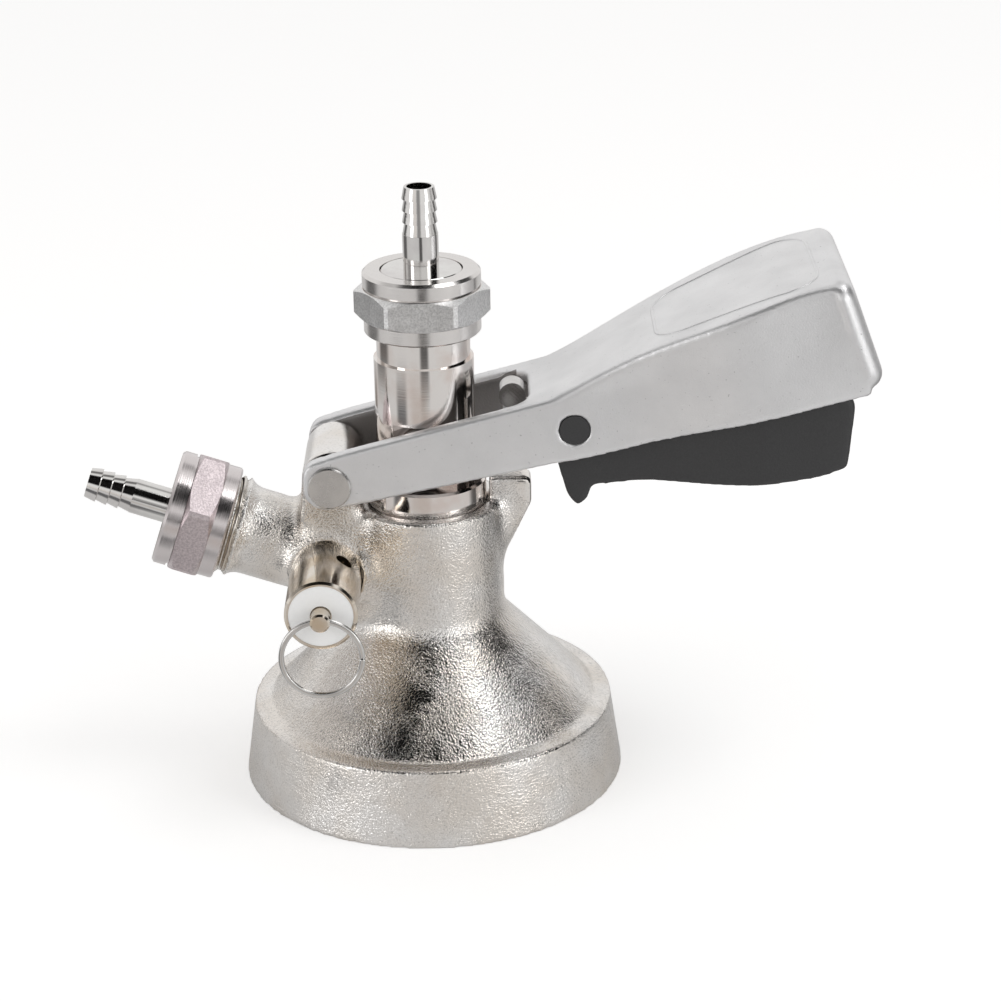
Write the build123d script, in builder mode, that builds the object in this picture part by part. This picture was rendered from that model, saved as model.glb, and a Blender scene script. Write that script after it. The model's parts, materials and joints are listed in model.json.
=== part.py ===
"""Keg coupler with a bayonet bell, a lever-driven probe, two hose unions and a relief valve.

Millimetres, +Z up.  The origin is the centre of the bell's mouth, which rests on the plane Z = 0.
The lever handle points to +X, the gas inlet to -X and the relief valve to -Y.
"""
import os
from math import acos, cos, degrees, hypot, radians, sin, sqrt, tan

from build123d import *

# ---------------------------------------------------------------- clearances
running_gap = 0.05        # radial, a shaft or pin that turns or slides in its hole
fixed_gap = 0.02          # radial, pieces that are pressed or screwed into one another
free_gap = 0.3            # between faces that pass one another

# ---------------------------------------------------------------- bell and neck
rim_radius = 42.5
rim_height = 17.0
rim_top_radius = 40.0
rim_ledge = 3.6
rim_edge_round = 1.2
cone_base_height = 17.4
neck_radius = 16.5
neck_root_height = 38.2   # where the cone would meet the neck without its blend
neck_root_round = 7.0
neck_top = 64.3
neck_edge_round = 2.0
cone_base_round = 1.0
mouth_radius = 37.5
mouth_depth = 4.0
bell_wall = 4.0
bell_ceiling = 24.0
ceiling_radius = 21.0
lug_count = 3
lug_arc = 46.0
lug_reach = 3.6
lug_thickness = 5.0

# ---------------------------------------------------------------- probe
piston_radius = 13.0
piston_bottom = 57.5
piston_top = 69.6
piston_bore_bottom = 50.8
sleeve_radius = 10.8
slot_top = 84.2
flat_distance = 8.5
sleeve_top = 97.1
thread_relief_radius = 10.1
thread_relief_length = 6.0
thread_radius = 11.3
probe_top = 110.0
stem_radius = 8.5
stem_bottom = 25.0
seal_stub_radius = 6.5
probe_bore_radius = 4.5
ball_chamber_radius = 6.2
ball_chamber_bottom = 96.0
chamber_radius = 11.5
o_ring_section = 1.3
o_ring_height = 60.5

ball_radius = 5.2
ball_gap = 0.15
ball_travel = 2.6
ball_stop_thickness = 2.4
ball_stop_rim = 1.5
ball_stop_bar = 1.6

keg_seal_outer = 16.5
keg_seal_inner = 12.0
keg_seal_bottom = 20.5
keg_seal_recess = 2.0
probe_seal_radius = 10.5
probe_seal_bottom = 19.8

# ---------------------------------------------------------------- unions
nut_length = 13.7
nut_across_flats = 25.8
nut_corner_radius = 14.6
collar_radius = 12.6
collar_length = 3.3
hex_length = 6.7
groove_length = 0.5
groove_radius = 12.2
flange_radius = 12.7
lip_thickness = 3.0
lip_bore_radius = 8.9
tail_disc_radius = 8.75
tail_flange_radius = 10.2
tail_flange_thickness = 2.0
tail_washer_thickness = 1.6
tail_washer_bore = 5.0
shank_radius = 3.84
shank_length = 7.8
barb_count = 4
barb_pitch = 2.55
barb_radius = 3.75
barb_root_radius = 3.24
tail_bore_radius = 2.65

# ---------------------------------------------------------------- gas inlet
inlet_tilt = 19.0         # degrees above the horizontal
inlet_face_x = -57.2      # outer face of the union nut, on the inlet axis
inlet_face_z = 63.2
inlet_tube_radius = 9.75
inlet_collar_radius = 10.9
inlet_collar_blend = 4.5  # radius of the hollow between the collar and the tube
inlet_thread_run = 2.6    # thread that shows behind the nut
inlet_root_length = 43.0  # from the nut's outer face back to the neck
inlet_root_blend = 16.0   # radius of the flare where the tube meets the neck
inlet_root_flare = 38.0   # degrees that the flare turns through
inlet_root_depth = 10.0   # how far the casting runs on into the neck
inlet_bore_radius = 4.0
valve_pocket_radius = 6.4
valve_pocket_depth = 15.0
valve_flange_radius = 7.4
valve_flange_thickness = 1.6
valve_length = 9.0
valve_wall = 1.2
valve_lip_width = 8.6
valve_lip_thickness = 1.6

# ---------------------------------------------------------------- relief valve
relief_x = -22.2
relief_z = 51.0
relief_boss_radius = 9.3
relief_boss_face = 11.0   # distances along -Y from the middle plane
relief_boss_round = 1.2
relief_seat = 5.5
relief_seat_bore = 2.5
relief_body_radius = 7.8
relief_screw_radius = 6.0
relief_bore_radius = 4.8
relief_seam = 27.3
relief_end = 33.5
relief_end_wall = 2.5
relief_disc_radius = 6.9
relief_disc_thickness = 0.5
relief_hole_radius = 2.3
relief_pin_radius = 2.1
relief_pin_reach = 4.0
relief_flange_radius = 4.4
relief_flange_thickness = 1.5
relief_seal_radius = 4.2
relief_seal_thickness = 1.5
relief_spring_radius = 3.5
relief_spring_wire = 0.45
relief_spring_turns = 6
relief_pull_travel = 2.5
vent_radius = 2.0
vent_distance = 19.0
vent_angle = 54.0        # degrees above +X
ring_radius = 8.55
ring_wire_radius = 0.65
ring_hole_radius = 1.1
ring_hole_distance = 2.2

# ---------------------------------------------------------------- lever pivot and latch catch
pivot_x = -20.5
pivot_z = 72.6
pivot_boss_radius = 6.2
pivot_boss_half = 10.2
pivot_boss_round = 1.0
pedestal_lean = 1.5       # how much further out the pedestal's foot stands
pedestal_foot = 9.0       # depths below the top of the neck
pedestal_root = 12.0
pedestal_depth = 6.0      # how far the pedestal reaches into the neck
pivot_washer_radius = 5.1
pivot_washer_thickness = 0.7
pivot_pin_radius = 4.0
pivot_head_radius = 4.65
pivot_head_thickness = 0.7
catch_half_thickness = 3.2
catch_outer_x = 22.8
catch_knob_depth = 5.3
catch_knob_bottom = 63.7
catch_knob_top = 69.6
catch_foot_height = 49.4
catch_waist = 2.6         # how far the rib is set back below the knob
catch_round = 1.5
catch_edge_round = 0.8

# ---------------------------------------------------------------- lever
lever_travel = 16.5       # degrees from the raised to the lowered position
arm_inner = 11.0
arm_thickness = 4.0
arm_lower_slope = 11.63   # degrees
arm_lower_offset = 5.37   # from the pivot to the lower edge
arm_end_reach = 5.9
arm_end_height = 5.0      # above the pivot, at the arm's end
arm_shoulder = (4.2, 8.0) # from the pivot to the corner of the upper edge
arm_end_round = 4.0
arm_foot_round = 5.3
arm_edge_round = 0.7
arm_inner_round = 1.8     # upper edge, towards the probe
arm_root_drop = 0.7       # below the crease of the hood
throat_x = 22.3
throat_round = 5.0
pad_radius = 7.0
hood_wall = 2.8
hood_roof = 3.2
hood_crease_round = 1.4
hood_skirt = 8.0          # how far the hollow's tool runs out below the lower edge
end_wall_thickness = 3.6
end_wall_overhang = 0.9
end_wall_corner = 4.0
end_wall_round = 3.4
trigger_pin_x = 32.0
trigger_pin_z = 84.8
trigger_pin_radius = 3.2

# Sections of the hood along X: x, lower edge, shoulder line and crease heights, and the half widths there.
hood_stations = [
    (17.0, 75.2, 87.0, 89.0, 15.0, 15.0, 14.6),
    (29.0, 77.3, 91.6, 92.9, 15.0, 15.0, 14.7),
    (39.0, 79.3, 93.8, 98.5, 15.0, 15.1, 16.0),
    (49.0, 81.9, 95.4, 103.8, 15.6, 16.2, 17.9),
    (60.0, 84.9, 98.5, 108.8, 18.3, 19.4, 20.7),
    (72.0, 88.1, 102.0, 113.9, 20.9, 21.3, 21.7),
    (85.0, 91.5, 105.5, 117.7, 21.4, 21.5, 21.3),
    (97.0, 94.6, 108.5, 119.6, 21.2, 21.2, 20.7),
]
end_wall_top = (85.4, 117.7)
end_wall_bottom = (93.6, 95.0)

# Outline of the squeeze grip below the hood, from its front upper corner round to its rear lower corner.
grip_front_top = (27.6, 79.0)
grip_hook = [(30.4, 68.2), (32.6, 65.6), (35.0, 67.4), (35.5, 70.4), (43.7, 71.6)]
grip_belly = [(53.4, 71.7), (63.0, 71.6), (72.5, 72.2), (82.1, 73.7)]
grip_rear = [(89.9, 75.7), (91.2, 90.0), (87.4, 96.6)]
grip_rear_round = 1.5
grip_crown = [(60.0, 92.5), (40.0, 90.6), (32.0, 90.4)]
grip_wall = 2.2
grip_side_gap = 0.8
claw_half_thickness = 2.5
claw_boss_radius = 5.2
claw_nose = (18.9, 88.3)
claw_nose_radius = 2.9
claw_relief = 1.2
claw_finger = 3.6
rivet_x = 36.6
rivet_z = 81.6
rivet_radius = 1.5
grip_spring_x = 49.5
grip_spring_seat = 82.0
grip_spring_radius = 3.4
grip_spring_wire = 0.45
grip_spring_turns = 5

os.makedirs("parts", exist_ok=True)

# ---------------------------------------------------------------- derived sizes, planes and points
cavity_radius = rim_top_radius - bell_wall
bore_radius = piston_radius + running_gap
inlet_direction = Vector(-cos(radians(inlet_tilt)), 0, sin(radians(inlet_tilt)))
inlet_face = Vector(inlet_face_x, 0, inlet_face_z)

# Distances along a union from the nut's inner end.
union_lip = nut_length - lip_thickness
union_flange = union_lip - tail_flange_thickness
union_washer = union_flange - tail_washer_thickness

pad_height = (piston_top + slot_top) / 2
ball_rest = ball_chamber_bottom + sqrt(ball_radius**2 - probe_bore_radius**2) + ball_gap
ball_stop_bottom = ball_rest + ball_radius + ball_travel + free_gap


def along_inlet(distance):
    """Plane across the gas inlet, a distance outwards from the union nut's outer face."""
    return Plane(origin=inlet_face + inlet_direction * distance, x_dir=(0, 1, 0), z_dir=inlet_direction)


def across_x(distance):
    """Plane across the lever at X = distance: its X is the part's Y and its Y is the part's Z."""
    return Plane(origin=(distance, 0, 0), x_dir=(0, 1, 0), z_dir=(1, 0, 0))


def section_plane(seat):
    """Plane that holds the axis of a seat: X is a radius and Y runs along the axis."""
    return Plane(origin=seat.origin, x_dir=seat.x_dir, z_dir=seat.x_dir.cross(seat.z_dir))


def axis_of(seat):
    return Axis(seat.origin, seat.z_dir)


def radial_plane(angle):
    """Plane through the Z axis, turned from +X towards +Y."""
    turn = radians(angle)
    return Plane(origin=(0, 0, 0), x_dir=(cos(turn), sin(turn), 0), z_dir=(sin(turn), -cos(turn), 0))


def turned(points, seat):
    """Solid turned about a seat's axis from its half section of (radius, height) points."""
    with BuildPart() as blank:
        with BuildSketch(section_plane(seat)):
            with BuildLine():
                Polyline(*points, close=True)
            make_face()
        revolve(axis=axis_of(seat))
    return blank


def save(builder, label):
    builder.part.label = label
    export_step(builder.part, f"parts/{label}.step")


upright = Plane.XY
beer_seat = Plane.XY.offset(probe_top - union_washer)
gas_seat = along_inlet(-nut_length)
inlet_face_plane = along_inlet(0)
inlet_collar_end = -nut_length - inlet_thread_run
inlet_hollow_turn = degrees(acos(1 - (inlet_collar_radius - inlet_tube_radius) / inlet_collar_blend))
inlet_flare_start = inlet_root_blend * sin(radians(inlet_root_flare)) - inlet_root_length
gas_thread_end = union_washer - nut_length
relief_seat_plane = Plane(origin=(relief_x, 0, relief_z), x_dir=(1, 0, 0), z_dir=(0, -1, 0))


# ---------------------------------------------------------------- casting
# Knuckle of the pivot pin on its pedestal, which stays clear of the piston.
with BuildPart() as pivot_knuckle:
    with BuildSketch(Plane.XZ):
        with BuildLine():
            Polyline(
                (pivot_x - pivot_boss_radius, pivot_z),
                (pivot_x - pivot_boss_radius - pedestal_lean, neck_top - pedestal_foot),
                (pedestal_depth - neck_radius, neck_top - pedestal_root),
                (pivot_x + pivot_boss_radius, neck_top),
                (pivot_x + pivot_boss_radius, pivot_z),
                close=True,
            )
        make_face()
        with Locations((pivot_x, pivot_z)):
            Circle(pivot_boss_radius)
    extrude(amount=pivot_boss_half, both=True)
    knuckle_sides = pivot_knuckle.faces().sort_by(Axis.Y)
    fillet(knuckle_sides[0].edges() + knuckle_sides[-1].edges(), pivot_boss_round)

# Rib with the knob that the latch claw passes.
with BuildPart() as catch_rib:
    with BuildSketch(Plane.XZ) as catch:
        with BuildLine():
            Polyline(
                (neck_radius - 2, catch_foot_height - 2),
                (neck_radius, catch_foot_height),
                (catch_outer_x - catch_waist, catch_knob_bottom - catch_knob_depth),
                (catch_outer_x, catch_knob_bottom),
                (catch_outer_x, catch_knob_top),
                (piston_radius + 2 * free_gap, catch_knob_top),
                (piston_radius + 2 * free_gap, neck_top - 1),
                close=True,
            )
        make_face()
        fillet(catch.vertices().sort_by_distance((catch_outer_x, catch_knob_top))[0], catch_round)
        fillet(catch.vertices().sort_by_distance((catch_outer_x, catch_knob_bottom))[0], catch_round)
    extrude(amount=catch_half_thickness, both=True)
    rib_sides = catch_rib.faces().sort_by(Axis.Y)
    fillet(rib_sides[0].edges() + rib_sides[-1].edges(), catch_edge_round)

with BuildPart() as body_casting:
    # Bell and neck, solid.
    with BuildSketch(Plane.XZ) as bell_section:
        with BuildLine():
            Polyline(
                (0, 0),
                (rim_radius, 0),
                (rim_top_radius, rim_height),
                (rim_top_radius - rim_ledge, cone_base_height),
                (neck_radius, neck_root_height),
                (neck_radius, neck_top),
                (0, neck_top),
                close=True,
            )
        make_face()
        corners = bell_section.vertices()
        fillet(corners.sort_by_distance((neck_radius, neck_root_height))[0], neck_root_round)
        fillet(corners.sort_by_distance((neck_radius, neck_top))[0], neck_edge_round)
        fillet(corners.sort_by_distance((rim_top_radius, rim_height))[0], rim_edge_round)
        fillet(corners.sort_by_distance((rim_top_radius - rim_ledge, cone_base_height))[0], cone_base_round)
        fillet(corners.sort_by_distance((rim_radius, 0))[0], rim_edge_round)
    revolve(axis=Axis.Z)

    # Gas inlet: a collar behind the thread, a waist, and a flare into the neck.
    with BuildSketch(section_plane(inlet_face_plane)):
        with BuildLine():
            collar = Line((0, inlet_collar_end), (inlet_collar_radius, inlet_collar_end))
            hollow = JernArc(
                start=collar @ 1,
                tangent=(-sin(radians(inlet_hollow_turn)), -cos(radians(inlet_hollow_turn))),
                radius=inlet_collar_blend,
                arc_size=inlet_hollow_turn,
            )
            tube = Line(hollow @ 1, (inlet_tube_radius, inlet_flare_start))
            flare = JernArc(start=tube @ 1, tangent=(0, -1), radius=inlet_root_blend, arc_size=inlet_root_flare)
            Polyline(
                flare @ 1,
                ((flare @ 1).X, -inlet_root_length - inlet_root_depth),
                (0, -inlet_root_length - inlet_root_depth),
                collar @ 0,
            )
        make_face()
    revolve(axis=axis_of(inlet_face_plane))

    # Boss of the relief valve, on the side of the inlet.
    with BuildSketch(section_plane(relief_seat_plane)) as boss_section:
        Rectangle(relief_boss_radius, relief_boss_face, align=(Align.MIN, Align.MIN))
        outer_corner = boss_section.vertices().sort_by_distance((relief_boss_radius, relief_boss_face))[0]
        fillet(outer_corner, relief_boss_round)
    revolve(axis=axis_of(relief_seat_plane))
    add(pivot_knuckle.part)
    add(catch_rib.part)

    with BuildSketch(along_inlet(-nut_length - inlet_thread_run)):
        Circle(thread_radius)
    extrude(amount=inlet_thread_run + union_washer)

    # Hollow of the bell, with the bayonet lugs that hold the keg's neck.
    with BuildSketch(Plane.XZ):
        with BuildLine():
            Polyline(
                (0, 0),
                (mouth_radius, 0),
                (mouth_radius, mouth_depth),
                (cavity_radius, mouth_depth),
                (cavity_radius, rim_height - bell_wall),
                (ceiling_radius, bell_ceiling),
                (0, bell_ceiling),
                close=True,
            )
        make_face()
    revolve(axis=Axis.Z, mode=Mode.SUBTRACT)
    for lug in range(lug_count):
        with BuildSketch(radial_plane(lug * 360 / lug_count)):
            with Locations((cavity_radius + bell_wall / 2, mouth_depth)):
                Rectangle(bell_wall / 2 + lug_reach, lug_thickness, align=(Align.MAX, Align.MIN))
        revolve(axis=Axis.Z, revolution_arc=lug_arc)

    # Bores of the probe and the recess of the keg seal.
    with BuildSketch(Plane.XY.offset(piston_bore_bottom)):
        Circle(bore_radius)
    extrude(amount=neck_top - piston_bore_bottom + 20, mode=Mode.SUBTRACT)
    with BuildSketch(Plane.XY.offset(bell_ceiling - 1)):
        Circle(chamber_radius)
    extrude(amount=piston_bore_bottom - bell_ceiling + 2, mode=Mode.SUBTRACT)
    with BuildSketch(Plane.XY.offset(bell_ceiling - 1)):
        Circle(keg_seal_outer + fixed_gap)
    extrude(amount=keg_seal_recess + 1, mode=Mode.SUBTRACT)

    # Gas passage with the pocket of the check valve.
    with BuildSketch(along_inlet(gas_thread_end)):
        Circle(inlet_bore_radius)
    extrude(amount=-(inlet_root_length + gas_thread_end + 6), mode=Mode.SUBTRACT)
    with BuildSketch(along_inlet(gas_thread_end)):
        Circle(valve_pocket_radius)
    extrude(amount=-valve_pocket_depth, mode=Mode.SUBTRACT)
    with BuildSketch(along_inlet(gas_thread_end)):
        Circle(valve_flange_radius + fixed_gap)
    extrude(amount=-valve_flange_thickness, mode=Mode.SUBTRACT)

    # Relief valve: spot face, screwed bore, seat and passage.
    with BuildSketch(relief_seat_plane.offset(relief_boss_face)):
        Circle(relief_body_radius + free_gap)
    extrude(amount=relief_body_radius, mode=Mode.SUBTRACT)
    with BuildSketch(relief_seat_plane.offset(relief_boss_face)):
        Circle(relief_screw_radius + fixed_gap)
    extrude(amount=relief_seat - relief_boss_face, mode=Mode.SUBTRACT)
    with BuildSketch(relief_seat_plane):
        Circle(relief_seat_bore)
    extrude(amount=relief_boss_face, mode=Mode.SUBTRACT)

    with BuildSketch(Plane.XZ):
        with Locations((pivot_x, pivot_z)):
            Circle(pivot_pin_radius + fixed_gap)
    extrude(amount=pivot_boss_half, both=True, mode=Mode.SUBTRACT)
save(body_casting, "body_casting")


# ---------------------------------------------------------------- seals of the bell and the probe
keg_seal = turned(
    [
        (keg_seal_inner, keg_seal_bottom),
        (keg_seal_outer - 1.5, keg_seal_bottom),
        (keg_seal_outer, keg_seal_bottom + 1.5),
        (keg_seal_outer, bell_ceiling + keg_seal_recess),
        (keg_seal_inner, bell_ceiling + keg_seal_recess),
    ],
    upright,
)
save(keg_seal, "keg_seal")

probe_seal = turned(
    [
        (seal_stub_radius + fixed_gap, probe_seal_bottom + 0.8),
        (probe_seal_radius - 2.0, probe_seal_bottom),
        (probe_seal_radius, probe_seal_bottom + 1.2),
        (probe_seal_radius, stem_bottom),
        (seal_stub_radius + fixed_gap, stem_bottom),
    ],
    upright,
)
save(probe_seal, "probe_seal")

o_ring_groove_radius = piston_radius - 2 * o_ring_section
with BuildPart() as probe_o_ring:
    with BuildSketch(Plane.XZ):
        with Locations((piston_radius - o_ring_section, o_ring_height)):
            Circle(o_ring_section)
    revolve(axis=Axis.Z)
save(probe_o_ring, "probe_o_ring")


# ---------------------------------------------------------------- probe
with BuildPart() as probe:
    with BuildSketch(Plane.XZ):
        with BuildLine():
            Polyline(
                (probe_bore_radius, probe_seal_bottom + 0.8),
                (seal_stub_radius, probe_seal_bottom + 0.8),
                (seal_stub_radius, stem_bottom),
                (stem_radius, stem_bottom),
                (stem_radius, piston_bottom),
                (piston_radius, piston_bottom),
                (piston_radius, o_ring_height - o_ring_section),
                (o_ring_groove_radius, o_ring_height - o_ring_section),
                (o_ring_groove_radius, o_ring_height + o_ring_section),
                (piston_radius, o_ring_height + o_ring_section),
                (piston_radius, piston_top),
                (sleeve_radius, piston_top),
                (sleeve_radius, sleeve_top),
                (thread_relief_radius, sleeve_top),
                (thread_relief_radius, sleeve_top + thread_relief_length),
                (thread_radius, sleeve_top + thread_relief_length),
                (thread_radius, probe_top),
                (ball_chamber_radius, probe_top),
                (ball_chamber_radius, ball_chamber_bottom),
                (probe_bore_radius, ball_chamber_bottom),
                close=True,
            )
        make_face()
    revolve(axis=Axis.Z)
    # Two flats that take the drive pads of the lever.
    with BuildSketch(Plane.XY.offset(piston_top)):
        with Locations((0, flat_distance), (0, -flat_distance)):
            Rectangle(2 * sleeve_radius, 2 * (sleeve_radius - flat_distance))
        with Locations((0, 0)):
            Rectangle(2 * sleeve_radius, 2 * flat_distance, mode=Mode.SUBTRACT)
    extrude(amount=slot_top - piston_top, mode=Mode.SUBTRACT)
    thread_edges = probe.edges().filter_by(GeomType.CIRCLE).group_by(Axis.Z)[-1]
    chamfer(thread_edges.sort_by(SortBy.RADIUS)[-1], 0.8)
    piston_edges = probe.edges().filter_by(GeomType.CIRCLE).filter_by(
        lambda edge: abs(edge.radius - piston_radius) < 0.01 and abs(edge.center().Z - piston_top) < 0.01
    )
    chamfer(piston_edges, 0.5)
save(probe, "probe")

with BuildPart() as check_ball:
    with BuildSketch(Plane.XZ):
        with BuildLine():
            turn_line = Line((0, ball_rest - ball_radius), (0, ball_rest + ball_radius))
            ThreePointArc(turn_line @ 1, (ball_radius, ball_rest), turn_line @ 0)
        make_face()
    revolve(axis=Axis.Z)
save(check_ball, "check_ball")

with BuildPart() as ball_stop:
    with BuildSketch(Plane.XY.offset(ball_stop_bottom)):
        Circle(ball_chamber_radius - fixed_gap)
        Circle(ball_chamber_radius - ball_stop_rim, mode=Mode.SUBTRACT)
        Rectangle(2 * ball_chamber_radius - ball_stop_rim, ball_stop_bar)
        Rectangle(ball_stop_bar, 2 * ball_chamber_radius - ball_stop_rim)
    extrude(amount=ball_stop_thickness)
save(ball_stop, "ball_stop")


# ---------------------------------------------------------------- unions
def union_nut(seat, hexagon_turn):
    """Hexagon nut with a collar, a flange and an inner lip that traps the hose tail."""
    hex_top = collar_length + hex_length
    corner_rise = (nut_corner_radius - nut_across_flats / 2 + 0.2) * tan(radians(30))
    with BuildPart() as nut:
        with BuildSketch(seat.offset(collar_length)):
            RegularPolygon(nut_across_flats / 2, 6, major_radius=False, rotation=hexagon_turn)
        extrude(amount=hex_length)
        with BuildSketch(section_plane(seat)):
            with BuildLine():
                Polyline(
                    (0, collar_length),
                    (nut_across_flats / 2 - 0.2, collar_length),
                    (nut_corner_radius, collar_length + corner_rise),
                    (nut_corner_radius, hex_top - corner_rise),
                    (nut_across_flats / 2 - 0.2, hex_top),
                    (0, hex_top),
                    close=True,
                )
            make_face()
        revolve(axis=axis_of(seat), mode=Mode.INTERSECT)
        with BuildSketch(section_plane(seat)):
            with BuildLine():
                Polyline(
                    (0, 0),
                    (collar_radius - 0.4, 0),
                    (collar_radius, 0.4),
                    (collar_radius, collar_length),
                    (groove_radius, collar_length),
                    (groove_radius, hex_top + groove_length),
                    (flange_radius, hex_top + groove_length),
                    (flange_radius, nut_length - 0.6),
                    (flange_radius - 0.6, nut_length),
                    (0, nut_length),
                    close=True,
                )
            make_face()
        revolve(axis=axis_of(seat))
        with BuildSketch(seat):
            Circle(thread_radius + running_gap)
        extrude(amount=union_lip, mode=Mode.SUBTRACT)
        with BuildSketch(seat):
            Circle(lip_bore_radius)
        extrude(amount=nut_length, mode=Mode.SUBTRACT)
    return nut


def hose_tail(seat):
    """Hose tail: a flange held by the nut's lip, a shank and a run of barbs."""
    outline = [
        (tail_bore_radius, union_flange),
        (tail_flange_radius, union_flange),
        (tail_flange_radius, union_lip),
        (tail_disc_radius, union_lip),
        (tail_disc_radius, nut_length - 0.3),
        (tail_disc_radius - 0.3, nut_length),
        (shank_radius, nut_length),
        (shank_radius, nut_length + shank_length),
    ]
    for barb in range(barb_count):
        start = nut_length + shank_length + barb * barb_pitch
        outline.append((barb_radius, start))
        outline.append((barb_root_radius, start + barb_pitch))
    outline.append((tail_bore_radius, nut_length + shank_length + barb_count * barb_pitch))
    return turned(outline, seat)


def tail_washer(seat):
    return turned(
        [
            (tail_washer_bore, union_washer),
            (tail_flange_radius, union_washer),
            (tail_flange_radius, union_flange),
            (tail_washer_bore, union_flange),
        ],
        seat,
    )


gas_hexagon_turn = 22.0
for line, seat, hexagon_turn in (("beer", beer_seat, 0.0), ("gas", gas_seat, gas_hexagon_turn)):
    save(union_nut(seat, hexagon_turn), f"{line}_nut")
    save(hose_tail(seat), f"{line}_hose_tail")
    save(tail_washer(seat), f"{line}_tail_washer")


# ---------------------------------------------------------------- gas check valve
with BuildPart() as gas_check_valve:
    valve_face = gas_thread_end - valve_flange_thickness
    with BuildSketch(along_inlet(gas_thread_end)):
        Circle(valve_flange_radius)
    extrude(amount=-valve_flange_thickness)
    with BuildSketch(along_inlet(valve_face)):
        Circle(tail_washer_bore)
    with BuildSketch(along_inlet(valve_face - valve_length)):
        Rectangle(valve_lip_width, valve_lip_thickness)
    loft()
    with BuildSketch(along_inlet(valve_face)):
        Circle(tail_washer_bore - valve_wall)
    with BuildSketch(along_inlet(valve_face - valve_length + valve_wall)):
        Rectangle(valve_lip_width - 2 * valve_wall, valve_lip_thickness - valve_wall)
    loft(mode=Mode.SUBTRACT)
    with BuildSketch(along_inlet(gas_thread_end)):
        Circle(tail_washer_bore - valve_wall)
    extrude(amount=-valve_flange_thickness, mode=Mode.SUBTRACT)
save(gas_check_valve, "gas_check_valve")


# ---------------------------------------------------------------- relief valve
with BuildPart() as relief_body:
    with BuildSketch(section_plane(relief_seat_plane)):
        with BuildLine():
            Polyline(
                (relief_bore_radius, relief_seat + free_gap),
                (relief_screw_radius, relief_seat + free_gap),
                (relief_screw_radius, relief_boss_face),
                (relief_body_radius, relief_boss_face),
                (relief_body_radius, relief_seam),
                (relief_bore_radius, relief_seam),
                close=True,
            )
        make_face()
    revolve(axis=axis_of(relief_seat_plane))
    vent_direction = (cos(radians(vent_angle)), 0, sin(radians(vent_angle)))
    with BuildSketch(Plane(origin=(relief_x, -vent_distance, relief_z), x_dir=(0, -1, 0), z_dir=vent_direction)):
        Circle(vent_radius)
    extrude(amount=relief_body_radius + 1, mode=Mode.SUBTRACT)
save(relief_body, "relief_body")

relief_cap = turned(
    [
        (relief_bore_radius, relief_seam),
        (relief_body_radius, relief_seam),
        (relief_body_radius, relief_end - 0.5),
        (relief_body_radius - 0.5, relief_end),
        (relief_disc_radius + fixed_gap, relief_end),
        (relief_disc_radius + fixed_gap, relief_end - relief_disc_thickness),
        (relief_pin_radius + running_gap, relief_end - relief_disc_thickness),
        (relief_pin_radius + running_gap, relief_end - relief_end_wall),
        (relief_bore_radius, relief_end - relief_end_wall),
    ],
    relief_seat_plane,
)
save(relief_cap, "relief_cap")

relief_disc = turned(
    [
        (relief_hole_radius, relief_end - relief_disc_thickness),
        (relief_disc_radius, relief_end - relief_disc_thickness),
        (relief_disc_radius, relief_end - 0.1),
        (relief_hole_radius, relief_end - 0.1),
    ],
    relief_seat_plane,
)
save(relief_disc, "relief_disc")

seal_face = relief_seat + fixed_gap
flange_face = seal_face + relief_seal_thickness
relief_seal = turned(
    [
        (0, seal_face),
        (relief_seal_radius, seal_face),
        (relief_seal_radius, flange_face),
        (0, flange_face),
    ],
    relief_seat_plane,
)
save(relief_seal, "relief_seal")

ring_hole_y = relief_end + ring_hole_distance
with BuildPart() as relief_pin:
    with BuildSketch(section_plane(relief_seat_plane)):
        with BuildLine():
            Polyline(
                (0, flange_face),
                (relief_flange_radius, flange_face),
                (relief_flange_radius, flange_face + relief_flange_thickness),
                (relief_pin_radius, flange_face + relief_flange_thickness),
                (relief_pin_radius, relief_end + relief_pin_reach - 0.4),
                (relief_pin_radius - 0.4, relief_end + relief_pin_reach),
                (0, relief_end + relief_pin_reach),
                close=True,
            )
        make_face()
    revolve(axis=axis_of(relief_seat_plane))
    with BuildSketch(Plane(origin=(relief_x, -ring_hole_y, relief_z), x_dir=(0, 1, 0), z_dir=(1, 0, 0))):
        Circle(ring_hole_radius)
    extrude(amount=relief_pin_radius + 1, both=True, mode=Mode.SUBTRACT)
save(relief_pin, "relief_pin")

ring_drop = ring_hole_radius - ring_wire_radius - free_gap
ring_center = (relief_x, -ring_hole_y, relief_z - ring_drop - ring_radius)
with BuildPart() as relief_ring:
    with BuildSketch(Plane.XY.offset(ring_center[2])):
        with Locations((ring_center[0] + ring_radius, ring_center[1])):
            Circle(ring_wire_radius)
    revolve(axis=Axis(ring_center, (0, 1, 0)))
save(relief_ring, "relief_ring")


def coil_spring(seat, length, turns, coil_radius, wire_radius):
    """Open compression spring that stands on a seat plane."""
    rise = length - 2 * wire_radius
    with BuildPart() as spring:
        base = seat.offset(wire_radius).origin
        with BuildLine() as coil:
            Helix(pitch=rise / turns, height=rise, radius=coil_radius, center=base, direction=seat.z_dir)
        with BuildSketch(Plane(origin=coil.line @ 0, z_dir=coil.line % 0)):
            Circle(wire_radius)
        sweep(path=coil.line, is_frenet=True)
    return spring


spring_start = flange_face + relief_flange_thickness
relief_spring = coil_spring(
    relief_seat_plane.offset(spring_start + fixed_gap),
    relief_end - relief_end_wall - spring_start - 2 * fixed_gap,
    relief_spring_turns,
    relief_spring_radius,
    relief_spring_wire,
)
save(relief_spring, "relief_spring")


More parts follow.
